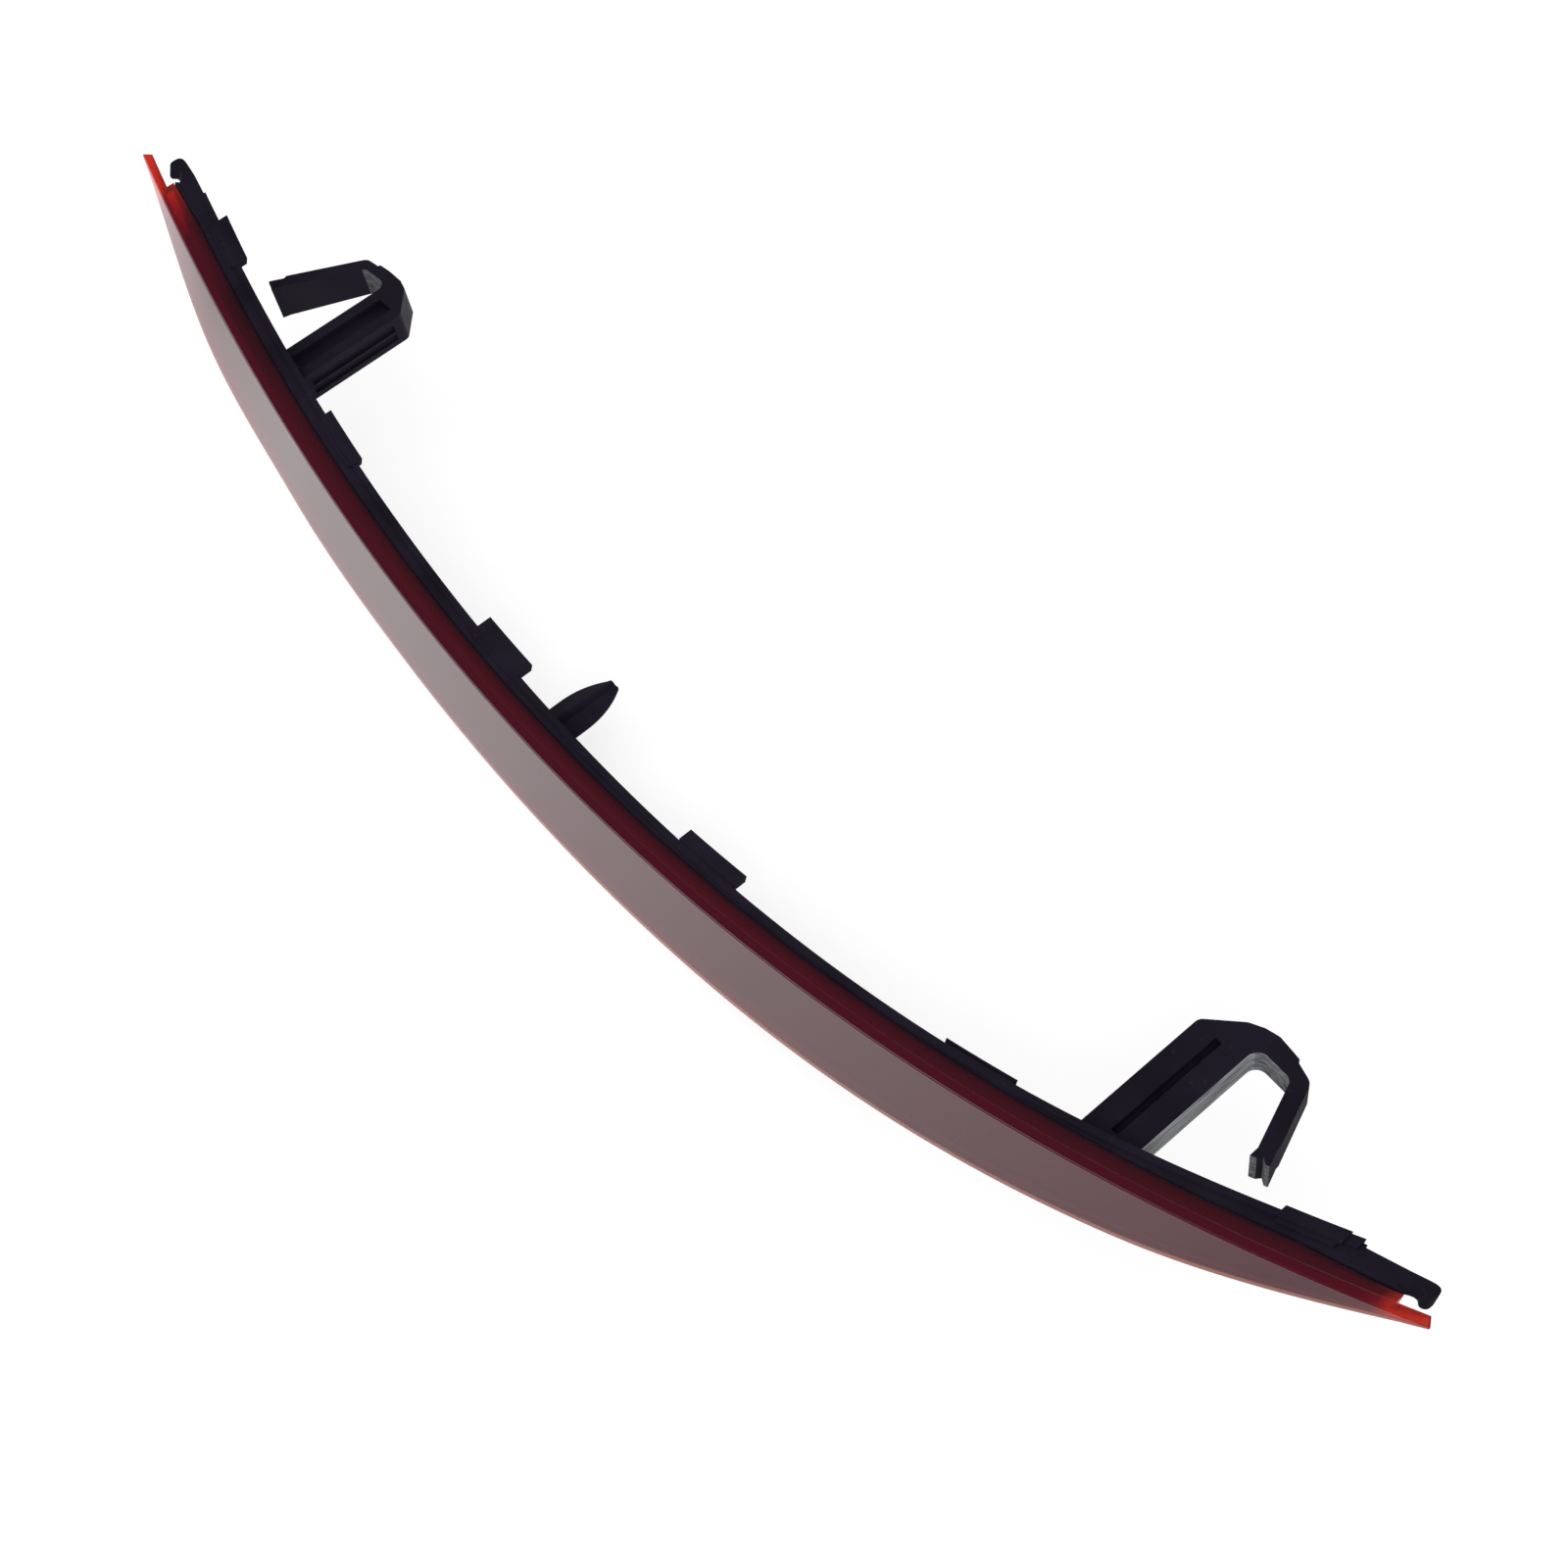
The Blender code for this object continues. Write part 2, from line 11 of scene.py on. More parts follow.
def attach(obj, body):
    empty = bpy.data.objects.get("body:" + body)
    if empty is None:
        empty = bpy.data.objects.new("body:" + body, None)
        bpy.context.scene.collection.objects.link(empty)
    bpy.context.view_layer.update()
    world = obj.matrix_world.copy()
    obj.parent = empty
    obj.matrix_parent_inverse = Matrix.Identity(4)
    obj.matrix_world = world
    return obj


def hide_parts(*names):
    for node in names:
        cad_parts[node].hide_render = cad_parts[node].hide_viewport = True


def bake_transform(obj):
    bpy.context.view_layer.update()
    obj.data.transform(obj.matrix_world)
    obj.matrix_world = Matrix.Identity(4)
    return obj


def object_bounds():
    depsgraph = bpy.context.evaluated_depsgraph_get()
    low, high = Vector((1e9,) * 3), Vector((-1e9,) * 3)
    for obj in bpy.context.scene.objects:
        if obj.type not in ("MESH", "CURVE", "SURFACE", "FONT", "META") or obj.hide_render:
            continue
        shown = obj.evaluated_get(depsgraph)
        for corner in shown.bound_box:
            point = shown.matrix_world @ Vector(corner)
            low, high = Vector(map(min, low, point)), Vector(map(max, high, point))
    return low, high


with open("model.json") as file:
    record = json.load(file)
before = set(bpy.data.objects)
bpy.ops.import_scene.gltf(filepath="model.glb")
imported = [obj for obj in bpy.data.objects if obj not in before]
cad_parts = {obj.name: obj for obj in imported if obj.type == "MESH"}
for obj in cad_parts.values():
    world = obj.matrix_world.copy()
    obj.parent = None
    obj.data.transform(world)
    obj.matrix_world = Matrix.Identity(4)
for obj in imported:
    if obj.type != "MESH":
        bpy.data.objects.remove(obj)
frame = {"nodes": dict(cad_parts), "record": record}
CAD_BOX = [list(corner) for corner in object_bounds()]

bl_info = {
    "name": "High-level stop lamp",
    "version": (1, 0, 0),
    "blender": (4, 5, 0),
    "location": "3D View > Sidebar > Stop lamp",
    "description": "Red lens, black mouldings, spring clips, lamp board and stage of a high-level stop lamp",
    "category": "Object",
}

MM = 0.001


def length(name, description, millimetres):
    return bpy.props.FloatProperty(
        name=name, description=description, default=millimetres * MM, unit="LENGTH", precision=5
    )


def number(name, description, default):
    return bpy.props.FloatProperty(name=name, description=description, default=default, precision=4)


def factor(name, description, default):
    return bpy.props.FloatProperty(
        name=name, description=description, default=default, min=0.0, max=1.0, subtype="FACTOR"
    )


def colour(name, description, default):
    return bpy.props.FloatVectorProperty(
        name=name, description=description, default=default, size=3, min=0.0, max=1.0, subtype="COLOR"
    )


class LampBow(bpy.types.PropertyGroup):
    """The bowed line that the whole lamp follows."""

    half_length: bpy.props.FloatProperty(
        name="Half length", description="From the middle to a lens tip", unit="LENGTH",
        default=(CAD_BOX[1][0] - CAD_BOX[0][0]) / 2, precision=5,
    )
    plan_sag: length("Plan sag", "How far the tips lie behind the middle", 26.9)
    plan_quartic: number("Plan quartic share", "Share of the sag that comes from the fourth power", 0.05)
    crown: length("Crown", "How far the tips rise above the middle", 36.0)
    face_height: length("Face height", "Height of the lens face in the middle", 13.9)
    tip_height: length("Tip height", "Height of the lens face at its tips", 1.0)
    face_power: number("Face power", "How long the face stays high before it tapers", 1.88)
    rake: number("Rake", "How far the face leans back for each unit of height", 0.45)
    depth: length("Depth", "Lamp body from the front edge to the back, in the middle", 8.4)
    depth_gain: length("Depth gain", "Extra depth of the body at the ends", 2.5)
    pad_proud: length("Pad proud", "Rest pad above the back", 0.4)
    pad_drop: length("Pad drop", "Middle of the rest pad below the upper edge", 7.2)


class LensFinish(bpy.types.PropertyGroup):
    """Sizes and colours of the red lens."""

    plate: length("Plate", "Thickness of the front plate", 2.2)
    depth: length("Depth", "Front face to the rear edge of the walls behind the tips", 4.2)
    middle_depth: length("Middle depth", "Front face to the rear edge of the walls between the hooks", 5.6)
    tip_run: length("Tip run", "Lens tips past the half length", 0.8)
    wall: length("Wall", "Thickness of the upper and lower walls", 1.8)
    lip: length("Lip", "Front plate standing over the walls", 0.3)
    left_end: length("Left bare end", "Plate left without walls at the left tip", 9.3)
    right_end: length("Right bare end", "Plate left without walls at the right tip", 6.0)
    upper_round: length("Upper rounding", "Radius of the upper front edge", 0.35)
    lower_round: length("Lower rounding", "Radius of the lower front edge", 0.75)
    tint: colour("Tint", "Colour of the lens's skin at its bare tips", (0.75, 0.05, 0.028))
    # Painted shade: the front tint darkens the lens where the dark inside lies behind it, and the rear-edge
    # tint darkens the walls towards their rear edges and also colours dust specks
    front_shade_tint: colour("Front tint", "Colour of the lens's skin over the dark inside", (0.205, 0.003, 0.03))
    painted_shade_and_speck_tint: colour("Deep tint", "Colour of the skin at the rear edge of the walls", (0.014, 0.002, 0.012))
    # Painted glow along the thin lower edge
    edge_glow_tint: colour("Edge tint", "Colour along the thin lower edge", (1.0, 0.36, 0.29))
    # Painted highlight on the step behind the plate's lower edge
    step_shine: factor("Step shine", "How bright the step behind the plate's edge is", 0.1)
    left_fade: length("Left fade", "Run over which the left walls fade into the backed lens", 15.0)
    right_fade: length("Right fade", "Run over which the face and the right walls do so", 4.0)
    body_tint: colour("Body tint", "Colour that the plastic lets through", (0.86, 0.28, 0.06))
    body_density: number("Body density", "How quickly the plastic darkens, per metre", 1150.0)


class HousingFinish(bpy.types.PropertyGroup):
    """Sizes and colours of the black mouldings."""

    front: length("Front", "Front edge of the housing behind the lens face", 5.7)
    rim: length("Rim", "Thickness of the upper and lower walls", 2.6)
    back: length("Back", "Thickness of the rear wall", 1.6)
    end: length("End", "Housing stops this far short of the lens tip", 16.0)
    flange: length("Flange", "Thickness of the rear flange", 1.4)
    flange_out: length("Flange out", "Rear flange standing over the walls", 0.5)
    edge_round: length("Edge rounding", "Rounding of the moulded edges", 0.28)
    black: colour("Black", "Colour of the moulded plastic", (0.0125, 0.0092, 0.0190))
    # Colour of a painted reflection on the right leg's outer side, the bends' insides and the right toe
    painted_reflection: colour("Pale", "Colour of the drawn sides of the clips", (0.6, 0.61, 0.64))


class ClipFinish(bpy.types.PropertyGroup):
    """Sizes of the spring clips."""

    centre: length("Centre", "Leg's distance from the middle of the lamp", 136.3)
    height: length("Height", "Height of the leg where it meets the housing", 7.6)
    drop: length("Drop", "Top of the strap below the lamp's upper edge", 3.9)
    leg_width: length("Leg width", "Width of the leg", 11.2)
    leg_reach: length("Leg reach", "Leg behind the housing", 36.56)
    leg_chamfer: length("Leg chamfer", "Cut corner of the leg", 6.6)
    strap: length("Strap", "Thickness of the strap", 3.4)
    left_tongue: length("Left tongue", "Length of the left tongue from its bend", 24.2)
    right_tongue: length("Right tongue", "Length of the right tongue from its bend", 17.4)
    left_lean: number("Left lean", "Angle of the left tongue to its leg in degrees", 31.5)
    right_lean: number("Right lean", "Angle of the right tongue to its leg in degrees", 20.5)
    flare: length("Flare", "How much higher the tongue is at its toe", 2.0)
    notch: length("Notch", "Step on the outside of the bend", 0.6)


class StageLight(bpy.types.PropertyGroup):
    """Floor, world and lamps of the stage."""

    floor: length("Floor", "Height of the floor", -7.6)
    world: number("World", "Strength of the world's soft light", 0.55)
    key: number("Key", "Power of the large soft lamp in watts", 3.2)
    floor_white: factor("Floor white", "Share of plain white in the floor that the camera sees", 0.79)
    floor_gleam: number("Floor gleam", "White that gloss sees in the floor at the left end", 1.75)
    floor_mid: number("Floor middle", "White that gloss sees in the floor at the middle", 1.27)
    floor_shade: factor("Floor shade", "Share of that white that is left at the right end", 0.3)


SETTINGS = {
    "stop_lamp_bow": LampBow,
    "stop_lamp_lens": LensFinish,
    "stop_lamp_housing": HousingFinish,
    "stop_lamp_clip": ClipFinish,
    "stop_lamp_stage": StageLight,
}


def settings(name):
    return getattr(bpy.context.scene, "stop_lamp_" + name)


# The lamp's own lines


def share(x):
    return (x / settings("bow").half_length) ** 2


def face_height(x):
    bow = settings("bow")
    return bow.tip_height + (bow.face_height - bow.tip_height) * (1 - share(x) ** bow.face_power)


def reach(height):
    """How far from the middle the lens face is still this high."""
    bow = settings("bow")
    taken = (height - bow.tip_height) / (bow.face_height - bow.tip_height)
    return bow.half_length * (1 - taken) ** (0.5 / bow.face_power)


def body_depth(x):
    bow = settings("bow")
    return bow.depth + bow.depth_gain * share(x) ** 2


# Stations along the lamp in millimetres, with the lower front edge's way forward and the upper rear
# edge's way back, both in millimetres, and the least share of painted shade on the lens walls
LOWER_FORWARD = ((-200, 0.0), (-155, 2.25), (-115, 1.0), (-60, 0.3), (90, 1.25), (150, 1.1), (200, -0.3))
REAR_SHIFT = ((-190, 0.0), (-100, 0.7), (110, -1.5), (190, -0.3))
WALL_SHADE = ((-175, 0.0), (-155, 0.7), (-110, 0.35), (-40, 0.0), (60, 0.0), (120, 0.35))
BOARD_STAND = 1.25 * MM


def eased(x, stations):
    """A smooth run of values through stations along the lamp."""
    for (start, first), (end, second) in zip(stations, stations[1:]):
        if x < end * MM:
            t = max(0.0, (x / MM - start) / (end - start))
            return first + (second - first) * t * t * (3 - 2 * t)
    return stations[-1][1]


def rear_edge(x):
    """Depth of the upper rear edge, which isn't quite even along the lamp."""
    return body_depth(x) + eased(x, REAR_SHIFT) * MM


def place(x, d, h):
    """The point d behind the lens's upper front edge and h below it, at x."""
    bow = settings("bow")
    u = share(x)
    q = bow.plan_quartic
    y = bow.plan_sag * ((1 - q) * u + q * u * u) - bow.depth + d - bow.rake * h - bow.pad_proud
    return Vector((x, y, bow.crown * u - h + bow.pad_drop))


def back_y(x, drop):
    return place(x, body_depth(x), drop).y


def clip_top():
    clip = settings("clip")
    return place(clip.centre, 0, clip.drop).z


def hinge_point(side):
    joint = frame["record"]["behaviour"]["joints"][0 if side < 0 else 1]
    return Vector(joint["pos_m"])


def board_front(x):
    return body_depth(x) - settings("housing").back - BOARD_STAND


# Mesh helpers

WELD = 1e-7
SHARP_ANGLE = math.radians(40)
ARC_STEP = math.radians(12)
LEAST_STEPS = 3


def limited(value):
    """A value held between 0 and 1."""
    return min(1.0, max(0.0, value))


def quarter(radius, steps):
    """A quarter arc between two edges, as distances from both."""
    turns = [math.radians(90 * k / steps) for k in range(steps + 1)]
    return [(radius * (1 - math.sin(turn)), radius * (1 - math.cos(turn))) for turn in turns]


def spaced(start, end, step):
    """Even places from start to end, at most a step apart."""
    count = max(1, math.ceil((end - start) / step))
    return [start + (end - start) * i / count for i in range(count + 1)]


def add_object(name, data):
    made = bpy.data.objects.new(name, data)
    bpy.context.scene.collection.objects.link(made)
    return made


def mesh_object(name, bm):
    mesh = bpy.data.meshes.new(name)
    bm.to_mesh(mesh)
    bm.free()
    return add_object(name, mesh)


def new_piece(name, bm, material):
    bmesh.ops.remove_doubles(bm, verts=bm.verts, dist=WELD)
    bmesh.ops.dissolve_degenerate(bm, edges=bm.edges, dist=WELD)
    bmesh.ops.recalc_face_normals(bm, faces=bm.faces)
    for face in bm.faces:
        face.smooth = True
    piece = mesh_object(name, bm)
    piece.data.materials.append(material)
    return piece


def settle(piece):
    """Turns what the modifiers make into the piece's own plain mesh."""
    graph = bpy.context.evaluated_depsgraph_get()
    made = bpy.data.meshes.new_from_object(piece.evaluated_get(graph), depsgraph=graph)
    piece.modifiers.clear()
    old = piece.data
    piece.data = made
    bpy.data.meshes.remove(old)
    made.name = piece.name


def mould(piece, edge, cutters=(), segments=2):
    """Cuts a piece out, rounds its sharp edges and settles it."""
    for cutter in cutters:
        modifier = piece.modifiers.new("Cut " + cutter.name, "BOOLEAN")
        modifier.object = cutter
        modifier.operation = "DIFFERENCE"
        modifier.solver = "EXACT"
    bevel = piece.modifiers.new("Moulded edges", "BEVEL")
    bevel.width = edge
    bevel.segments = segments
    bevel.limit_method = "ANGLE"
    bevel.angle_limit = SHARP_ANGLE
    bevel.use_clamp_overlap = True
    weighted = piece.modifiers.new("Flat faces", "WEIGHTED_NORMAL")
    weighted.keep_sharp = True
    settle(piece)
    for cutter in cutters:
        mesh = cutter.data
        bpy.data.objects.remove(cutter)
        bpy.data.meshes.remove(mesh)


def loft(bm, rings):
    """Faces between rings of equally many points, with both ends closed."""
    made = [[bm.verts.new(point) for point in ring] for ring in rings]
    for near, far in zip(made, made[1:]):
        for i in range(len(near)):
            j = (i + 1) % len(near)
            bm.faces.new((near[i], near[j], far[j], far[i]))
    bm.faces.new(made[0])
    bm.faces.new(made[-1][::-1])
    return made


def box(matrix, size):
    bm = bmesh.new()
    bmesh.ops.create_cube(bm, size=1, matrix=matrix @ Matrix.Diagonal((*size, 1)))
    return bm


def rounded(corners):
    """An outline of (x, y, radius) corners, each with a radius turned into an arc."""
    points = []
    count = len(corners)
    for i, (x, y, radius) in enumerate(corners):
        here = Vector((x, y))
        if not radius:
            points.append(tuple(here))
            continue
        before = (Vector(corners[i - 1][:2]) - here).normalized()
        after = (Vector(corners[(i + 1) % count][:2]) - here).normalized()
        half = before.angle(after) / 2
        run = radius / math.tan(half)
        centre = here + (before + after).normalized() * (radius / math.sin(half))
        first = here + before * run - centre
        turn = first.angle_signed(here + after * run - centre)
        steps = max(LEAST_STEPS, math.ceil(abs(turn) / ARC_STEP))
        for k in range(steps + 1):
            spoke = first.copy()
            spoke.rotate(Matrix.Rotation(-turn * k / steps, 2))
            points.append(tuple(centre + spoke))
    return points


# Node helpers


def fill(tree, socket, value):
    """Links a socket to an output, or gives it a plain value."""
    if isinstance(value, bpy.types.NodeSocket):
        tree.links.new(value, socket)
    else:
        socket.default_value = value


def add_node(tree, kind, *values, **named):
    """A new node's outputs, with its inputs filled in their order or by name."""
    node = tree.nodes.new(kind)
    for socket, value in zip(node.inputs, values):
        fill(tree, socket, value)
    for name, value in named.items():
        fill(tree, node.inputs[name.replace("_", " ")], value)
    return node.outputs


def solve(tree, operation, *values):
    result = add_node(tree, "ShaderNodeMath", *values)[0]
    result.node.operation = operation
    return result


def spread(tree, value, low, high, out_low=0.0, out_high=1.0):
    """Carries a value from one range over to another."""
    return add_node(tree, "ShaderNodeMapRange", value, low, high, out_low, out_high)[0]


def new_group(kind, name, inputs, outputs):
    """A node tree with its sockets: an input is a name, a type and perhaps a first value."""
    tree = bpy.data.node_groups.new(name, kind)
    for socket, sort, *first in inputs:
        made = tree.interface.new_socket(socket, in_out="INPUT", socket_type="NodeSocket" + sort)
        if first:
            made.default_value = first[0]
    for socket, sort in outputs:
        tree.interface.new_socket(socket, in_out="OUTPUT", socket_type="NodeSocket" + sort)
    return tree, tree.nodes.new("NodeGroupInput").outputs, tree.nodes.new("NodeGroupOutput").inputs


# Geometry Nodes: bending straight pieces along the lamp, and repeating small fittings

GEOMETRY = ("Geometry", "Geometry")
BOW_INPUTS = {
    "Half Length": "half_length",
    "Plan Sag": "plan_sag",
    "Plan Quartic": "plan_quartic",
    "Crown": "crown",
    "Rake": "rake",
    "Depth": "depth",
    "Pad Proud": "pad_proud",
    "Pad Drop": "pad_drop",
}


def geometry_group(name, sizes, *others):
    inputs = (GEOMETRY, *((size, "Float") for size in sizes), *others)
    return new_group("GeometryNodeTree", name, inputs, (GEOMETRY,))


def bow_group():
    """Moves points from (along, depth, drop) to their place on the bowed lamp."""
    tree = bpy.data.node_groups.get("Lamp bow")
    if tree:
        return tree
    tree, given, out = geometry_group("Lamp bow", BOW_INPUTS)
    position = add_node(tree, "GeometryNodeInputPosition")[0]
    along, back, drop = add_node(tree, "ShaderNodeSeparateXYZ", position)
    ratio = solve(tree, "DIVIDE", along, given["Half Length"])
    u = solve(tree, "MULTIPLY", ratio, ratio)
    straight = solve(tree, "MULTIPLY", u, solve(tree, "SUBTRACT", 1.0, given["Plan Quartic"]))
    curled = solve(tree, "MULTIPLY", solve(tree, "MULTIPLY", u, u), given["Plan Quartic"])
    sag = solve(tree, "MULTIPLY", given["Plan Sag"], solve(tree, "ADD", straight, curled))
    lean = solve(tree, "MULTIPLY", given["Rake"], drop)
    y = solve(tree, "SUBTRACT", solve(tree, "ADD", sag, back), lean)
    y = solve(tree, "SUBTRACT", y, solve(tree, "ADD", given["Depth"], given["Pad Proud"]))
    z = solve(tree, "SUBTRACT", solve(tree, "MULTIPLY", given["Crown"], u), drop)
    z = solve(tree, "ADD", z, given["Pad Drop"])
    joined = add_node(tree, "ShaderNodeCombineXYZ", along, y, z)[0]
    moved = add_node(tree, "GeometryNodeSetPosition", Geometry=given["Geometry"], Position=joined)
    tree.links.new(moved[0], out[0])
    return tree


def open_tree(name, *sizes):
    return geometry_group(name, (*BOW_INPUTS, *sizes), ("Material", "Material"))


def close_tree(tree, given, out, geometry):
    """Realizes the instances, bends the result along the lamp and sets the material.

    Drops count downwards, so the bend mirrors a piece and its faces are turned back.
    """
    bow = tree.nodes.new("GeometryNodeGroup")
    bow.node_tree = bow_group()
    tree.links.new(add_node(tree, "GeometryNodeRealizeInstances", geometry)[0], bow.inputs["Geometry"])
    for name in BOW_INPUTS:
        tree.links.new(given[name], bow.inputs[name])
    turned = add_node(tree, "GeometryNodeFlipFaces", bow.outputs[0])[0]
    finish = add_node(tree, "GeometryNodeSetMaterial", Geometry=turned, Material=given["Material"])
    tree.links.new(finish[0], out[0])


def bowed_tree():
    tree = bpy.data.node_groups.get("Bowed moulding")
    if not tree:
        tree, given, out = open_tree("Bowed moulding")
        close_tree(tree, given, out, given["Geometry"])
    return tree


def set_inputs(modifier, values):
    """Sets a tree's inputs by their identifiers."""
    found = {
        item.name: item.identifier
        for item in modifier.node_group.interface.items_tree
        if item.item_type == "SOCKET" and item.in_out == "INPUT"
    }
    for name, value in values.items():
        modifier[found[name]] = value


def bend(piece, material, tree=None, **extra):
    """Puts a straight piece on the lamp's bow."""
    modifier = piece.modifiers.new("Along the lamp", "NODES")
    modifier.node_group = tree or bowed_tree()
    sizes = {name: getattr(settings("bow"), key) for name, key in BOW_INPUTS.items()}
    set_inputs(modifier, {**sizes, "Material": material, **extra})


def bowed_piece(name, bm, material, edge, cutters=(), segments=2):
    """A moulding drawn straight, then bent along the lamp and finished."""
    piece = new_piece(name, bm, material)
    bend(piece, material)
    mould(piece, edge, cutters, segments)
    return piece


# Shared surface effects

# Scale and height of the coarse grain, and scale of the patches, against the fine grain
COARSE_SHARE = 0.21
COARSE_HEIGHT = 0.6
PATCH_SHARE = 0.028
PATCH_RANGE = (0.35, 0.65)
SPECK_EDGE = (0.10, 0.26)


def add_noise(tree, vector, scale, detail, rough=0.5):
    return add_node(tree, "ShaderNodeTexNoise", Vector=vector, Scale=scale, Detail=detail, Roughness=rough)[0]


def grain_group():
    """Fine spark-eroded grain of a moulding, with slow patches of gloss."""
    tree = bpy.data.node_groups.get("Moulded grain")
    if tree:
        return tree
    tree, given, out = new_group(
        "ShaderNodeTree", "Moulded grain",
        (("Vector", "Vector"), ("Scale", "Float", 2600.0)), (("Height", "Float"), ("Patch", "Float")),
    )
    vector, scale = given["Vector"], given["Scale"]
    fine = add_noise(tree, vector, scale, detail=3.0, rough=0.6)
    coarse = add_noise(tree, vector, solve(tree, "MULTIPLY", scale, COARSE_SHARE), detail=2.0)
    slow = add_noise(tree, vector, solve(tree, "MULTIPLY", scale, PATCH_SHARE), detail=3.0)
    tree.links.new(solve(tree, "ADD", fine, solve(tree, "MULTIPLY", coarse, COARSE_HEIGHT)), out["Height"])
    tree.links.new(spread(tree, slow, *PATCH_RANGE), out["Patch"])
    return tree


def speck_group():
    """Dust specks that have settled on a surface."""
    tree = bpy.data.node_groups.get("Settled specks")
    if tree:
        return tree
    tree, given, out = new_group(
        "ShaderNodeTree", "Settled specks",
        (("Vector", "Vector"), ("Scale", "Float", 900.0), ("Amount", "Float", 0.25)), (("Mask", "Float"),),
    )
    cells = add_node(tree, "ShaderNodeTexVoronoi", Vector=given["Vector"], Scale=given["Scale"])
    near = spread(tree, cells["Distance"], *SPECK_EDGE, 1.0, 0.0)
    chance = add_node(tree, "ShaderNodeSeparateXYZ", cells["Color"])[0]
    kept = solve(tree, "LESS_THAN", chance, given["Amount"])
    tree.links.new(solve(tree, "MULTIPLY", near, kept), out["Mask"])
    return tree


class Finish:
    """A material under construction, with its Principled BSDF and Object coordinates."""

    def __init__(self, name, base, roughness, **constants):
        self.material = bpy.data.materials.new(name)
        self.material.use_nodes = True
        self.tree = self.material.node_tree
        self.shader = self.tree.nodes["Principled BSDF"]
        self.shader.inputs["Base Color"].default_value = (*base, 1)
        self.shader.inputs["Roughness"].default_value = roughness
        for socket, value in constants.items():
            self.shader.inputs[socket.replace("_", " ")].default_value = value
        self.place = self.tree.nodes.new("ShaderNodeTexCoord").outputs["Object"]

    def group(self, tree, **values):
        node = self.tree.nodes.new("ShaderNodeGroup")
        node.node_tree = tree
        for name, value in {"Vector": self.place, **values}.items():
            fill(self.tree, node.inputs[name], value)
        return node.outputs

    def link(self, value, socket):
        self.tree.links.new(value, self.shader.inputs[socket])

    def mix(self, mask, *colours):
        node = self.tree.nodes.new("ShaderNodeMix")
        node.data_type = "RGBA"
        fill(self.tree, node.inputs["Factor"], mask)
        for socket, value in zip(node.inputs[6:8], colours):
            linked = isinstance(value, bpy.types.NodeSocket)
            fill(self.tree, socket, value if linked else (*value, 1))
        return node.outputs[2]

    def bump(self, height, distance, strength):
        made = add_node(self.tree, "ShaderNodeBump", Strength=strength, Distance=distance, Height=height)
        self.link(made[0], "Normal")

    def attribute(self, name):
        node = self.tree.nodes.new("ShaderNodeAttribute")
        node.attribute_name = name
        return node.outputs["Fac"]


# Roughness of a clean and of a dusty or worn surface
LENS_ROUGHNESS = (0.07, 0.3)
BLACK_ROUGHNESS = (0.55, 0.68)
WORN = 1.5
DUST = (0.024, 0.022, 0.029)
STREAK_STRETCH = (1.0, 0.12, 1.8)
STREAK_RANGE = (0.22, 0.6)
ROUGHNESS_SPAN = (0.85, 1.15)
GRAIN_STRENGTH = 0.5
MASK_GREEN = (0.010, 0.042, 0.022)
TRACK_GREEN = (0.022, 0.085, 0.045)
VIA_TIN = (0.45, 0.42, 0.36)
TRACK_EDGE = (0.55, 0.62)


def red_lens():
    """Clear red plastic: dark over the backed face, paler along its lower edge, bright at its bare tips."""
    made = bpy.data.materials.get("Red lens")
    if made:
        return made
    lens = settings("lens")
    finish = Finish(
        "Red lens", lens.tint, LENS_ROUGHNESS[0], IOR=1.49, Transmission_Weight=0.6, Coat_Weight=1.0,
        Coat_Roughness=0.12, Coat_IOR=1.65, Sheen_Weight=0.1, Sheen_Roughness=0.4,
    )
    tree = finish.tree
    body = add_node(
        tree, "ShaderNodeVolumeAbsorption", Color=(*lens.body_tint, 1), Density=lens.body_density
    )
    tree.links.new(body[0], tree.nodes["Material Output"].inputs["Volume"])
    specks = finish.group(speck_group(), Scale=1150.0, Amount=0.06)["Mask"]
    # Painted shade over the dark inside, darker towards the walls' rear edges
    backed = finish.mix(finish.attribute("painted_shade"), lens.front_shade_tint, lens.painted_shade_and_speck_tint)
    # The bare tips keep the plain tint, and the step line gets a share of it as a painted highlight
    tinted = finish.mix(finish.attribute("bare"), backed, lens.tint)
    # Painted glow along the lower edge
    edge_glowing = finish.mix(finish.attribute("lower_edge_glow"), tinted, lens.edge_glow_tint)
    finish.link(finish.mix(specks, edge_glowing, lens.painted_shade_and_speck_tint), "Base Color")
    finish.link(spread(tree, specks, 0, 1, *LENS_ROUGHNESS), "Roughness")
    finish.bump(finish.group(grain_group(), Scale=3800.0)["Height"], distance=0.000004, strength=0.1)
    return finish.material


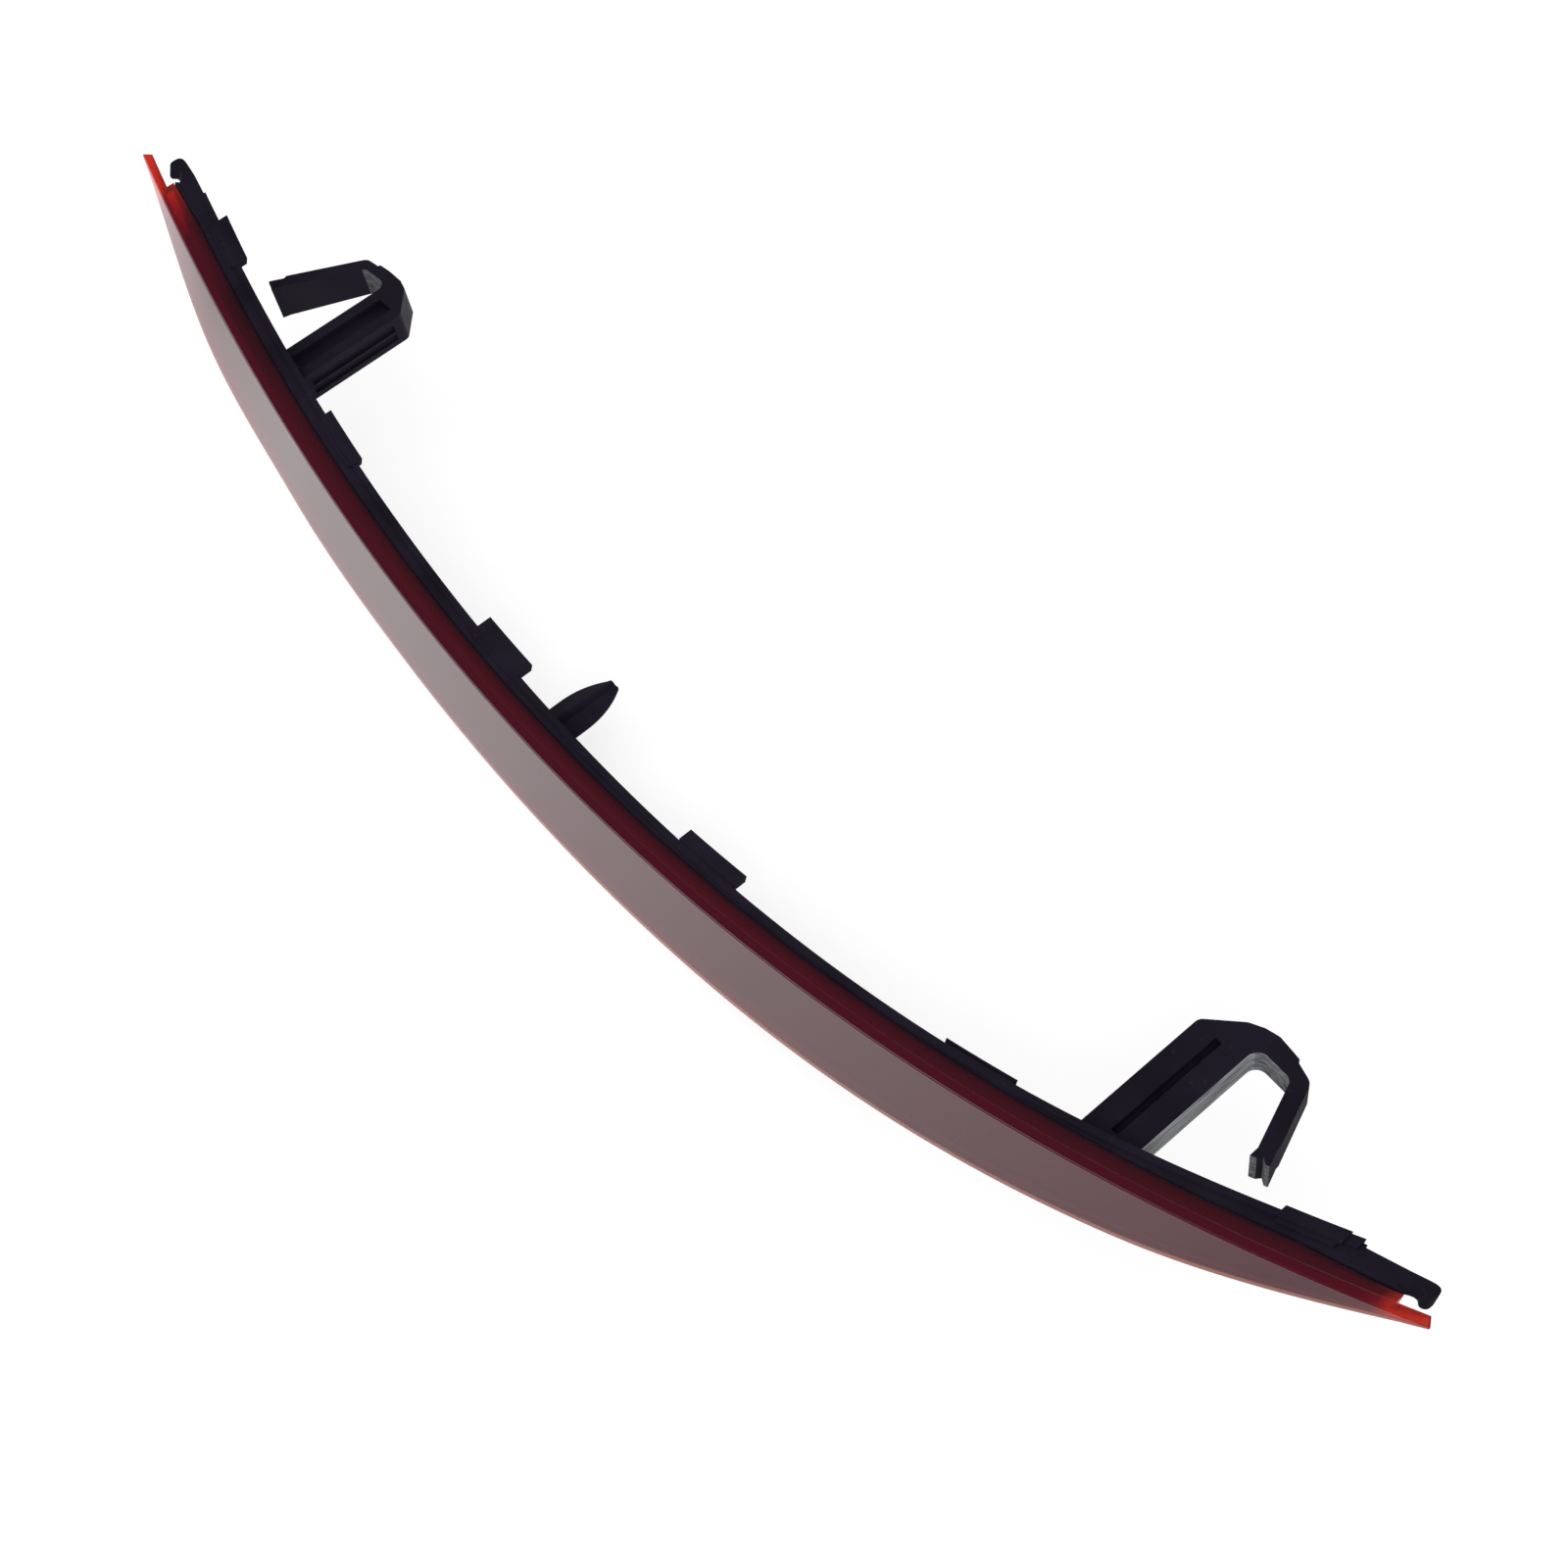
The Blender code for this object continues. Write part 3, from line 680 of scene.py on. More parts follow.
def black_plastic():
    """Grained black plastic with dust, and with pale streaks where the mesh is marked pale."""
    made = bpy.data.materials.get("Black moulded plastic")
    if made:
        return made
    housing = settings("housing")
    black = housing.black
    finish = Finish("Black moulded plastic", black, BLACK_ROUGHNESS[0], IOR=1.5, Specular_IOR_Level=0.1)
    tree = finish.tree
    grain = finish.group(grain_group(), Scale=2600.0)
    specks = finish.group(speck_group(), Scale=620.0, Amount=0.07)["Mask"]
    worn = finish.mix(grain["Patch"], black, tuple(WORN * part for part in black))
    dusty = finish.mix(specks, worn, DUST)
    # Streaked painted reflection on the faces marked for it
    stretched = add_node(tree, "ShaderNodeMapping", Vector=finish.place, Scale=STREAK_STRETCH)[0]
    drawn = spread(tree, add_noise(tree, stretched, 620.0, detail=3.0, rough=0.6), *STREAK_RANGE)
    reflection_streaks = solve(tree, "MULTIPLY", finish.attribute("painted_reflection"), drawn)
    finish.link(finish.mix(reflection_streaks, dusty, housing.painted_reflection), "Base Color")
    finish.link(spread(tree, grain["Patch"], 0, 1, *BLACK_ROUGHNESS), "Roughness")
    finish.bump(grain["Height"], distance=0.00002, strength=GRAIN_STRENGTH)
    return finish.material


def plain_finish(name, base, second, roughness, scale, depth, **constants):
    """A moulded or pressed surface: one colour, or two in patches, over a fine grain."""
    finish = Finish(name, base, roughness, **constants)
    grain = finish.group(grain_group(), Scale=scale)
    if second:
        finish.link(finish.mix(grain["Patch"], base, second), "Base Color")
    rough = (roughness * part for part in ROUGHNESS_SPAN)
    finish.link(spread(finish.tree, grain["Patch"], 0, 1, *rough), "Roughness")
    finish.bump(grain["Height"], depth, GRAIN_STRENGTH)
    return finish


def board_finish():
    """Solder mask over copper: paler tracks run along the board and vias dot it."""
    finish = plain_finish("Lamp board", MASK_GREEN, None, roughness=0.38, scale=1800.0, depth=0.00001)
    bands = add_node(finish.tree, "ShaderNodeTexWave", Vector=finish.place, Scale=260.0)["Fac"]
    bands.node.bands_direction = "Z"
    tracks = spread(finish.tree, bands, *TRACK_EDGE)
    green = finish.mix(tracks, MASK_GREEN, TRACK_GREEN)
    vias = finish.group(speck_group(), Scale=240.0, Amount=0.3)["Mask"]
    finish.link(finish.mix(vias, green, VIA_TIN), "Base Color")
    return finish


# Pieces

LENS_STEP = 3 * MM
LENS_EDGE = 0.1 * MM
WALL_TAPER_END = 9 * MM
WALL_TAPER = 15 * MM
WALL_SHADE_RUN = 0.9 * MM
PLATE_SHADE_RUN = 0.35 * MM
HOLLOW_ROOM = 1.2 * MM
TIP_SLANT = 0.6
TIP_SLANT_RUN = 2 * MM
# Most of the face's height that the roundings, the lip and the walls take up near the tips
WALL_SHARE = 0.45
TIP_SHARES = (0.25, 0.4, 0.2, WALL_SHARE)
# Lines above the lower rounding: how far above it, and the most of the face's height
EDGE_LINES = ((0.55 * MM, 0.51), (0.3 * MM, 0.46))
UPPER_STEPS = 3
LOWER_STEPS = 5
# Points of a ring on the lower front edge and, further round, on the step behind the plate
EDGE_START = UPPER_STEPS + len(EDGE_LINES)
EDGE_STOP = EDGE_START + LOWER_STEPS + 2
LOWER_EDGE = range(EDGE_START, EDGE_STOP)
STEP_LINE = (EDGE_STOP + 9, EDGE_STOP + 10)
# The painted glow on the lower edge grows from the left tip over this share of the half length
EDGE_GLOW_RUN = 1.1
SHADE_POWER = 3
BARE_POWER = 2


def wall_depth(x):
    """Depth of the lens walls, which reach further back between the hooks."""
    lens = settings("lens")
    room = settings("bow").half_length - WALL_TAPER_END - abs(x)
    return lens.depth + (lens.middle_depth - lens.depth) * limited(room / WALL_TAPER)


def lens_section(x, wall, floor):
    """One ring of the lens: wall and floor are the depths of its rear edges and of its hollow."""
    lens = settings("lens")
    high = face_height(x)
    lean = eased(x, LOWER_FORWARD) * MM / high
    sizes = (lens.upper_round, lens.lower_round, lens.lip, lens.lip + lens.wall)
    upper, lower, lip, inner = (min(size, high * part) for size, part in zip(sizes, TIP_SHARES))
    ring = quarter(upper, UPPER_STEPS)
    ring += [(0.0, high - min(lower + rise, high * part)) for rise, part in EDGE_LINES]
    ring += [(d, high - h) for h, d in quarter(lower, LOWER_STEPS)]
    ring = [(d - lean * h, h) for d, h in ring]
    ring += [
        (lens.plate, high), (lens.plate, high - lip), (wall, high - lip), (wall, high - inner),
        (floor, high - inner), (floor, inner), (wall, inner), (wall, lip),
        (max(lens.plate, wall - WALL_SHADE_RUN), lip), (lens.plate, lip), (lens.plate, 0.0),
        (lens.plate - PLATE_SHADE_RUN, 0.0),
    ]
    run = settings("bow").half_length + lens.tip_run - abs(x)
    slant = TIP_SLANT * max(0.0, 1 - run / TIP_SLANT_RUN)
    return [Vector((x - math.copysign(slant * d, x), d, h)) for d, h in ring]


def make_lens():
    """Red lens: bare plate at the tips, then solid walls, and between those a hollow."""
    lens = settings("lens")
    half = settings("bow").half_length
    left_solid = lens.left_end - half
    right_solid = half - lens.right_end
    hollow_end = reach(2 * (lens.lip + lens.wall) + HOLLOW_ROOM)
    tip = half + lens.tip_run
    rows = [(x, lens.plate, lens.plate) for x in spaced(-tip, left_solid, LENS_STEP)]
    rows += [(x, wall_depth(x), wall_depth(x)) for x in spaced(left_solid, -hollow_end, LENS_STEP)]
    rows += [(x, wall_depth(x), lens.plate) for x in spaced(-hollow_end, hollow_end, LENS_STEP)]
    rows += [(x, wall_depth(x), wall_depth(x)) for x in spaced(hollow_end, right_solid, LENS_STEP)]
    rows += [(x, lens.plate, lens.plate) for x in spaced(right_solid, tip, LENS_STEP)]
    bm = bmesh.new()
    edge = bm.verts.layers.float.new("lower_edge_glow")
    painted_shade = bm.verts.layers.float.new("painted_shade")
    bare = bm.verts.layers.float.new("bare")
    for verts in loft(bm, [lens_section(*row) for row in rows]):
        # Painted glow along the lower edge, from none at the left tip to full just right of the middle
        for i in LOWER_EDGE:
            verts[i][edge] = limited((verts[i].co.x + half) / (EDGE_GLOW_RUN * half))
        for vertex in verts:
            along, back, _ = vertex.co
            fade = lens.left_fade if along < 0 and back > lens.plate / 2 else lens.right_fade
            run = (along - left_solid if along < 0 else right_solid - along) / fade
            # Painted shade, growing towards the walls' rear edges and at least WALL_SHADE along the walls
            vertex[painted_shade] = limited((back - lens.plate) / (wall_depth(along) - lens.plate)) ** SHADE_POWER
            if back > lens.plate - LENS_EDGE:
                vertex[painted_shade] = max(vertex[painted_shade], eased(along, WALL_SHADE))
            vertex[bare] = limited(1 - run) ** BARE_POWER
        # Painted highlight on the step line behind the plate, carried by the bare-tip mask
        for i in STEP_LINE:
            verts[i][bare] = max(verts[i][bare], lens.step_shine)
    piece = bowed_piece("lens_shell", bm, red_lens(), LENS_EDGE)
    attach(piece, "lamp")
    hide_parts("lens")


HOUSING_STEP = 4 * MM
FLANGE_FADE = 8 * MM
INLET_X = 40 * MM
INLET_DROP = 7.2 * MM
INLET_SIZE = (10 * MM, 6.4 * MM, 5.5 * MM)


def housing_section(x, hollow):
    """One ring of the housing, with its floor behind the board where it is hollow."""
    housing = settings("housing")
    high = face_height(x)
    back = body_depth(x)
    rim = min(housing.rim, high * WALL_SHARE)
    floor = back - housing.back if hollow else housing.front
    room = settings("bow").half_length - housing.end - abs(x)
    out = housing.flange_out * min(1.0, room / FLANGE_FADE)
    top = rear_edge(x)
    ring = [
        (housing.front, 0.0), (top - housing.flange, 0.0), (top - housing.flange, -out), (top, -out),
        (back, high + out), (back - housing.flange, high + out), (back - housing.flange, high),
        (housing.front, high), (housing.front, high - rim),
        (floor, high - rim), (floor, rim), (housing.front, rim),
    ]
    return [Vector((x, d, h)) for d, h in ring]


def lamp_frame(x, d, h):
    """A matrix on the lamp: X along it, Y to its back and Z up its section."""
    along = (place(x + MM / 2, d, h) - place(x - MM / 2, d, h)).normalized()
    up = Vector((0, settings("bow").rake, 1))
    up = (up - along * up.dot(along)).normalized()
    matrix = Matrix((along, up.cross(along), up)).transposed().to_4x4()
    matrix.translation = place(x, d, h)
    return matrix


def make_housing():
    """Housing: a trough with a rear flange, solid towards its ends, with a window for the inlet."""
    housing = settings("housing")
    end = settings("bow").half_length - housing.end
    hollow_end = reach(2 * housing.rim + HOLLOW_ROOM)
    rows = [(x, False) for x in spaced(-end, -hollow_end, HOUSING_STEP)]
    rows += [(x, True) for x in spaced(-hollow_end, hollow_end, HOUSING_STEP)]
    rows += [(x, False) for x in spaced(hollow_end, end, HOUSING_STEP)]
    bm = bmesh.new()
    loft(bm, [housing_section(*row) for row in rows])
    window = box(lamp_frame(INLET_X, body_depth(INLET_X), INLET_DROP), INLET_SIZE)
    cutters = [mesh_object("inlet_window", window)]
    piece = bowed_piece("housing_shell", bm, black_plastic(), housing.edge_round, cutters)
    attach(piece, "lamp")
    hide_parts("rear_housing")


# Each tab: centre, width and how far it stands out behind, in millimetres
TABS = (
    (-169.2, 12.4, 2.3),
    (-109.6, 15.4, 2.1),
    (-39.8, 16.7, 3.75),
    (34.8, 17.4, 2.5),
    (109.2, 16.6, -0.6),
    (175.2, 11.3, 0.5),
)
# Plates of a tab: inset at both ends, start behind the housing's front, set-back, top and bottom
TAB_PLATES = ((0.0, 2.1, 0.0, -0.7, 0.8), (0.5, 1.2, 0.5, -0.42, 0.7))
# Step past the last tab: start and end from there, start behind the front, overhang, top and bottom
END_STEP = (-0.5, 2.4, 2.6, 0.3, -0.45, 0.7)
TAB_STEP = 3 * MM
TAB_EDGE = 0.18 * MM


def tab_plate(bm, start, end, front, overhang, top, bottom):
    rings = []
    for x in spaced(start, end, TAB_STEP):
        back = body_depth(x) + overhang
        corners = ((front, top), (back, top), (back, bottom), (front, bottom))
        rings.append([Vector((x, d, h)) for d, h in corners])
    loft(bm, rings)


def make_tabs():
    """Press tabs: a plate with a lower step in front of it, at each place along the upper edge."""
    base = settings("housing").front
    plates = []
    for centre, width, overhang in TABS:
        for inset, front, short, top, bottom in TAB_PLATES:
            half = width / 2 - inset
            plates.append((centre - half, centre + half, front, overhang - short, top, bottom))
    last = centre + width / 2
    plates.append((last + END_STEP[0], last + END_STEP[1], *END_STEP[2:]))
    bm = bmesh.new()
    for start, end, front, *rest in plates:
        tab_plate(bm, start * MM, end * MM, base + front * MM, *(size * MM for size in rest))
    piece = bowed_piece("press_tabs", bm, black_plastic(), TAB_EDGE)
    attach(piece, "lamp")


# Outline of a hook: distance in from the lens tip and depth, in millimetres
HOOK_REAR = (
    (9.0, 10.0), (5.5, 9.5), (4.5, 9.3), (3.8, 8.95), (3.35, 8.5), (3.1, 8.0), (2.95, 7.3), (2.9, 6.6),
)
HOOK_CURL = (
    (2.95, 5.9), (3.15, 5.4), (3.6, 5.15), (4.1, 5.2), (4.5, 5.5), (4.8, 5.95), (5.05, 6.4), (5.4, 6.8),
    (6.0, 7.05), (6.8, 7.05), (7.5, 6.75), (8.1, 6.2), (8.5, 5.6),
)
# Each hook: side, the lens's bare end, inset, depth of its nose and scale of its depths
HOOKS = ((-1, "left_end", 1.6, 5.0, 0.95), (1, "right_end", -0.8, 5.1, 0.72))
HOOK_NOSE = 5.0
HOOK_RUN = 8 * MM
HOOK_SEAT = 0.3 * MM
HOOK_HEIGHTS = (0.12 * MM, 3.0 * MM)
HOOK_EDGE = 0.3 * MM


def make_hooks():
    """End hooks: each runs out from the housing behind the lens tip and curls towards the lens."""
    lens = settings("lens")
    half = settings("bow").half_length
    start = half - settings("housing").end
    root = start - HOOK_RUN
    bm = bmesh.new()
    for side, bare_end, inset, nose, size in HOOKS:
        outline = [
            (root, lens.middle_depth + HOOK_SEAT),
            (root, rear_edge(side * root) - HOOK_SEAT),
            (start, rear_edge(side * start) - HOOK_SEAT),
        ]
        for out, d in HOOK_REAR + HOOK_CURL:
            outline.append((half - (out + inset) * MM, (nose + (d - HOOK_NOSE) * size) * MM))
        outline.append((half - getattr(lens, bare_end), lens.depth + HOOK_SEAT))
        loft(bm, [[Vector((side * x, d, h)) for x, d in outline] for h in HOOK_HEIGHTS])
    piece = bowed_piece("end_hooks", bm, black_plastic(), HOOK_EDGE, segments=3)
    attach(piece, "lamp")


# Each clip: side, name, and in millimetres its slot's width, shift outwards, height, crest of the
# bend, hollow of the toe's outside and splay of its inside
CLIPS = ((-1, "left", 4.8, 0.6, 7.8, 0.0, 0.7, 0.3), (1, "right", 1.6, 0.0, 6.9, 1.1, 0.2, 0.7))
ROOTED = 0.8 * MM
CHAMFER_FALL = 1 / 8
CHAMFER_ROUNDS = (2.0 * MM, 1.6 * MM)
# The crest's corners from the leg's outer side, and how a higher crest moves what lies beside it
CREST_START = 1.65 * MM
CREST_END = 3.3 * MM
CREST_ROUND = 2.4 * MM
CREST_LIFT, CREST_DRAW, SLOPE_DROP, TURN_LIFT = 0.45, 1.8, 1.3, 0.6
BEND_SLOPE = (6.5 * MM, -0.7 * MM)
BEND_TURN = (-3.1 * MM, 2.34 * MM)
BEND_INSIDE = 3.2 * MM
BEND_ROUNDS = (2.3 * MM, 1.7 * MM)
LEG_ROUND = 2.4 * MM
INSIDE_SLOPE = (7.8, -0.5)
SHOULDER_RUN = 0.25 * MM
TOE_RUN = 4.4 * MM
TOE_STEP = 0.7 * MM
TOE_LIP = 0.8 * MM
TOE_NOTCH = (1.1 * MM, -0.1 * MM)
TOE_SHORT = 0.5 * MM
TOE_WALL = 0.6 * MM
SPLAY_RUN = 1.9 * MM
SLOT_START = 1.6 * MM
SLOT_LONG = 26 * MM
SLOT_DEEP = 3.4 * MM
POCKET_SIZE = (1.4 * MM, 24 * MM, 1.9 * MM)
POCKET_DROP = 0.24 * MM
# How strong the painted reflection is on the right leg's side, and by side on the bends' insides and the toe
LEG_REFLECTION = 1.0
BEND_REFLECTION = {-1: 0.35, 1: 0.6}
# Limits of the faces with the painted reflection: least or most of a normal's part, and lengths around the
# hinge
LEG_FACING = 0.7
BEND_FACING = -0.35
TOE_FACING = 0.6
LEVEL_FACING = 0.5
BEND_BELOW = 4 * MM
BEND_PAST = 2 * MM
TOE_SHARE = 0.84


def meet(first, along, second, across):
    """Where two lines cross, each given by a point and a direction."""
    gap = second - first
    return first + along * (gap.cross(across) / along.cross(across))


def clip_outline(tongue, lean, crest, hollow, splay):
    """Leg, bend and tongue of a right clip, seen from above, as corners with radii.

    The crest is the rise of the bend over the leg's end, the hollow is cut from the toe's
    outside, and the splay widens the toe on its inside.
    """
    clip = settings("clip")
    inner = clip.centre - clip.leg_width / 2
    outer = clip.centre + clip.leg_width / 2
    end = back_y(clip.centre, clip.drop) + clip.leg_reach
    root = back_y(clip.centre, clip.drop + clip.height) - ROOTED
    hinge = hinge_point(1).xy
    down = Vector((math.sin(math.radians(lean)), -math.cos(math.radians(lean))))
    side = Vector((-down.y, down.x))
    half = clip.strap / 2
    toe = tongue - TOE_RUN
    step = half - hollow
    slope = Vector((BEND_SLOPE[0], BEND_SLOPE[1] - SLOPE_DROP * crest))
    turn = hinge + Vector((BEND_TURN[0], BEND_TURN[1] + TURN_LIFT * crest))
    shoulder = turn + Vector((SHOULDER_RUN, -clip.notch))
    bend_out = meet(shoulder, slope, hinge + side * half, down)
    corner = Vector((outer, end - BEND_INSIDE))
    bend_in = meet(corner, Vector(INSIDE_SLOPE), hinge - side * half, down)

    def arm(run, off):
        return (*(hinge + down * run + side * off), 0.0)

    return [
        (inner, root, 0.0),
        (inner, end - clip.leg_chamfer, CHAMFER_ROUNDS[0]),
        (inner + clip.leg_chamfer, end - clip.leg_chamfer * CHAMFER_FALL, CHAMFER_ROUNDS[1]),
        (outer - CREST_START, end + CREST_LIFT * crest, 0.0),
        (outer + CREST_END - CREST_DRAW * crest, end + crest, CREST_ROUND),
        (*turn, 0.0),
        (*shoulder, 0.0),
        (*bend_out, BEND_ROUNDS[0]),
        arm(toe, half),
        arm(toe + TOE_STEP, step),
        arm(tongue, step),
        arm(tongue, step - TOE_LIP),
        arm(tongue - TOE_NOTCH[0], TOE_NOTCH[1]),
        arm(tongue - TOE_SHORT, TOE_WALL - half),
        arm(tongue - TOE_SHORT, -half - splay),
        arm(toe + SPLAY_RUN, -half),
        (*bend_in, BEND_ROUNDS[1]),
        (outer, end - BEND_INSIDE, LEG_ROUND),
        (outer, root, 0.0),
    ]


def mark_painted_reflection(piece, side, tongue):
    """Marks the pale faces: the inside of a bend, and the right clip's toe and outer side of its leg."""
    clip = settings("clip")
    outer = clip.centre + clip.leg_width / 2
    hinge = hinge_point(side)
    painted_reflection = piece.data.attributes.new("painted_reflection", "FLOAT", "FACE")
    for face in piece.data.polygons:
        x, y = side * face.center.x, face.center.y
        out = side * face.normal.x
        leg = side > 0 and out > LEG_FACING and abs(x - outer) < MM / 2
        inside = face.normal.y < BEND_FACING and y > hinge.y - BEND_BELOW
        bend_inside = inside and outer - MM < x < hinge.x * side + BEND_PAST
        upright = abs(face.normal.z) < LEVEL_FACING and out < TOE_FACING
        toe = side > 0 and upright and y < hinge.y - tongue * TOE_SHARE
        if leg:
            painted_reflection.data[face.index].value = LEG_REFLECTION
        elif bend_inside or toe:
            painted_reflection.data[face.index].value = BEND_REFLECTION[side]


def make_clips():
    """Spring clips: leg, bend and tongue in one moulding, so that the tongue bends at its root."""
    clip = settings("clip")
    top = clip_top()
    slot_y = back_y(clip.centre, 0) + SLOT_START
    for side, word, *sizes in CLIPS:
        slot_width, outward, high, *shape = (size * MM for size in sizes)
        tongue = getattr(clip, word + "_tongue")
        lean = getattr(clip, word + "_lean")
        hinge = hinge_point(side)
        corners = rounded(clip_outline(tongue, lean, *shape))
        bm = bmesh.new()
        loft(bm, [[Vector((side * (x + outward), y, z)) for x, y in corners] for z in (top - high, top)])
        for vertex in bm.verts:
            run = (hinge.y - vertex.co.y) / tongue
            if vertex.co.z < top - high / 2 and side * (vertex.co.x - hinge.x) > -MM and run > 0:
                vertex.co.z -= clip.flare * run
        piece = new_piece(word + "_clip_spring", bm, black_plastic())
        middle = clip.centre + outward
        at = Matrix.Translation((side * middle, slot_y + SLOT_LONG / 2, top))
        cutters = [mesh_object(word + "_leg_slot", box(at, (slot_width, SLOT_LONG, SLOT_DEEP)))]
        for level in (1, 2):
            z = top - high + level * high / 3 - POCKET_DROP
            at = Matrix.Translation((side * (middle - clip.leg_width / 2), slot_y + POCKET_SIZE[1] / 2, z))
            cutters.append(mesh_object(f"{word}_side_pocket_{level}", box(at, POCKET_SIZE)))
        mould(piece, settings("housing").edge_round, cutters)
        mark_painted_reflection(piece, side, tongue)
        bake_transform(piece)
        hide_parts(word + "_clip_tongue")


PIN_X = -19.6 * MM
PIN_DROP = 6.3 * MM
PIN_BELOW = 1.8 * MM
PIN_SHOULDER = 7.0 * MM
PIN_REACH = 19.2 * MM
PIN_STEPS = (4 * MM, 0.7 * MM)
PIN_SIDE = 0.42 * MM
PIN_EDGE = 0.2 * MM
# The leaf's half width at its tip and what the root has more, the ridge's height and what it loses, all
# in millimetres, and how late the leaf tapers
PIN_TIP = 1.3
PIN_LEAF = 3.7
PIN_RIDGE = 1.7
PIN_RIDGE_LOSS = 0.9
PIN_TAPER = 2.3
# Points of the section between its sides: place across in millimetres and share of the ridge
PIN_SECTION = ((-1.2, 0.9), (-0.5, 1.0), (0.1, 0.3), (1.0, 0.6))


def make_pin():
    """Locating pin: a pointed leaf with a ridge along both sides."""
    z = place(PIN_X, 0, PIN_DROP).z
    root = back_y(PIN_X, PIN_DROP + PIN_BELOW) - ROOTED
    shoulder = back_y(PIN_X, PIN_DROP) + PIN_SHOULDER
    tip = back_y(PIN_X, PIN_DROP) + PIN_REACH
    rings = []
    for y in spaced(root, shoulder, PIN_STEPS[0])[:-1] + spaced(shoulder, tip, PIN_STEPS[1]):
        gone = max(0.0, (y - shoulder) / (tip - shoulder))
        half = (PIN_TIP + PIN_LEAF * (1 - gone ** PIN_TAPER)) * MM
        ridge = (PIN_RIDGE - PIN_RIDGE_LOSS * gone ** 2) * MM
        inner = [(across * MM, part * ridge) for across, part in PIN_SECTION]
        upper = [(-half, PIN_SIDE), *inner, (half, PIN_SIDE)]
        ring = upper + [(across, -up) for across, up in reversed(upper)]
        rings.append([Vector((PIN_X + across, y, z + up)) for across, up in ring])
    bm = bmesh.new()
    loft(bm, rings)
    piece = new_piece("locating_pin", bm, black_plastic())
    mould(piece, PIN_EDGE)
    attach(piece, "lamp")


PAD_LONG = 22 * MM
PAD_HIGH = 9 * MM
PAD_EDGE = 0.12 * MM
RING_X = 8 * MM
RING_RADIUS = 1.5 * MM
RING_DEPTH = 0.3 * MM


def make_pad():
    """Rest pad on the back, with a shallow ejector mark at each end."""
    low = back_y(0, settings("bow").pad_drop + PAD_HIGH / 2) - ROOTED
    bm = box(Matrix.Translation((0, low / 2, 0)), (PAD_LONG, -low, PAD_HIGH))
    piece = new_piece("rest_pad", bm, black_plastic())
    rings = []
    for side in (-1, 1):
        ring = bmesh.new()
        turn = Matrix.Translation((side * RING_X, 0, 0)) @ Matrix.Rotation(math.pi / 2, 4, "X")
        bmesh.ops.create_cone(
            ring, cap_ends=True, segments=32, radius1=RING_RADIUS, radius2=RING_RADIUS, depth=RING_DEPTH,
            matrix=turn,
        )
        rings.append(mesh_object("ejector_ring", ring))
    mould(piece, PAD_EDGE, rings)
    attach(piece, "lamp")


LED_COUNT = 12
LED_PITCH = 25 * MM
# Places of the resistors and of the diode, in millimetres
RESISTORS = (-75, -25, 25, 75)
DIODE = 50
# From the middle of each kind to its solder, in millimetres
LED_OUT = 1.9
RESISTOR_OUT = 1.75
DIODE_OUT = 2.35
SOLDER_EDGE = 0.08 * MM
FILL_AHEAD = 0.72 * MM


def points_piece(name, points):
    mesh = bpy.data.meshes.new(name)
    mesh.from_pydata(points, [], [])
    return add_object(name, mesh)


def at_points(tree, given, instance, **named):
    return add_node(
        tree, "GeometryNodeInstanceOnPoints", Points=given["Geometry"], Instance=instance, **named
    )[0]


def led_places():
    return [(i - (LED_COUNT - 1) / 2) * LED_PITCH for i in range(LED_COUNT)]


def make_lamp_fills():
    """Clear silicone in the cup of each lamp package."""
    tree, given, out = open_tree("Lamp fills", "Radius", "Bulge")
    ball = add_node(tree, "GeometryNodeMeshUVSphere", Segments=16, Rings=8, Radius=1.0)["Mesh"]
    size = add_node(tree, "ShaderNodeCombineXYZ", given["Radius"], given["Bulge"], given["Radius"])[0]
    spots = at_points(tree, given, ball, Scale=size)
    close_tree(tree, given, out, add_node(tree, "GeometryNodeSetShadeSmooth", spots)[0])
    finish = plain_finish(
        "Silicone fill", (0.85, 0.62, 0.12), (0.9, 0.68, 0.18), roughness=0.2, scale=1500.0, depth=0.000004
    )
    points = [(x, board_front(x) - FILL_AHEAD, face_height(x) / 2) for x in led_places()]
    piece = points_piece("lamp_fills", points)
    bend(piece, finish.material, tree, Radius=1.08 * MM, Bulge=0.38 * MM)
    settle(piece)
    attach(piece, "lamp")


def make_solder():
    """Solder fillets at both ends of every lamp, resistor and diode."""
    tree, given, out = open_tree("Solder fillets", "Foot", "Top", "Rise")
    cone = add_node(
        tree, "GeometryNodeMeshCone", Vertices=12, Radius_Bottom=given["Foot"], Radius_Top=given["Top"],
        Depth=given["Rise"],
    )["Mesh"]
    turned = add_node(tree, "GeometryNodeTransform", Geometry=cone, Rotation=(math.pi / 2, 0, 0))[0]
    close_tree(tree, given, out, at_points(tree, given, turned))
    finish = plain_finish(
        "Solder", (0.62, 0.62, 0.6), (0.5, 0.5, 0.5), roughness=0.3, scale=1400.0, depth=0.00001, Metallic=1.0
    )
    ends = [(x, LED_OUT) for x in led_places()]
    ends += [(x * MM, RESISTOR_OUT) for x in RESISTORS]
    ends.append((DIODE * MM, DIODE_OUT))
    points = []
    for x, half in ends:
        for at in (x - half * MM, x + half * MM):
            points.append((at, board_front(at), face_height(at) / 2))
    piece = points_piece("solder_fillets", points)
    bend(piece, finish.material, tree, Foot=0.62 * MM, Top=0.3 * MM, Rise=0.5 * MM)
    mould(piece, SOLDER_EDGE)
    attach(piece, "lamp")


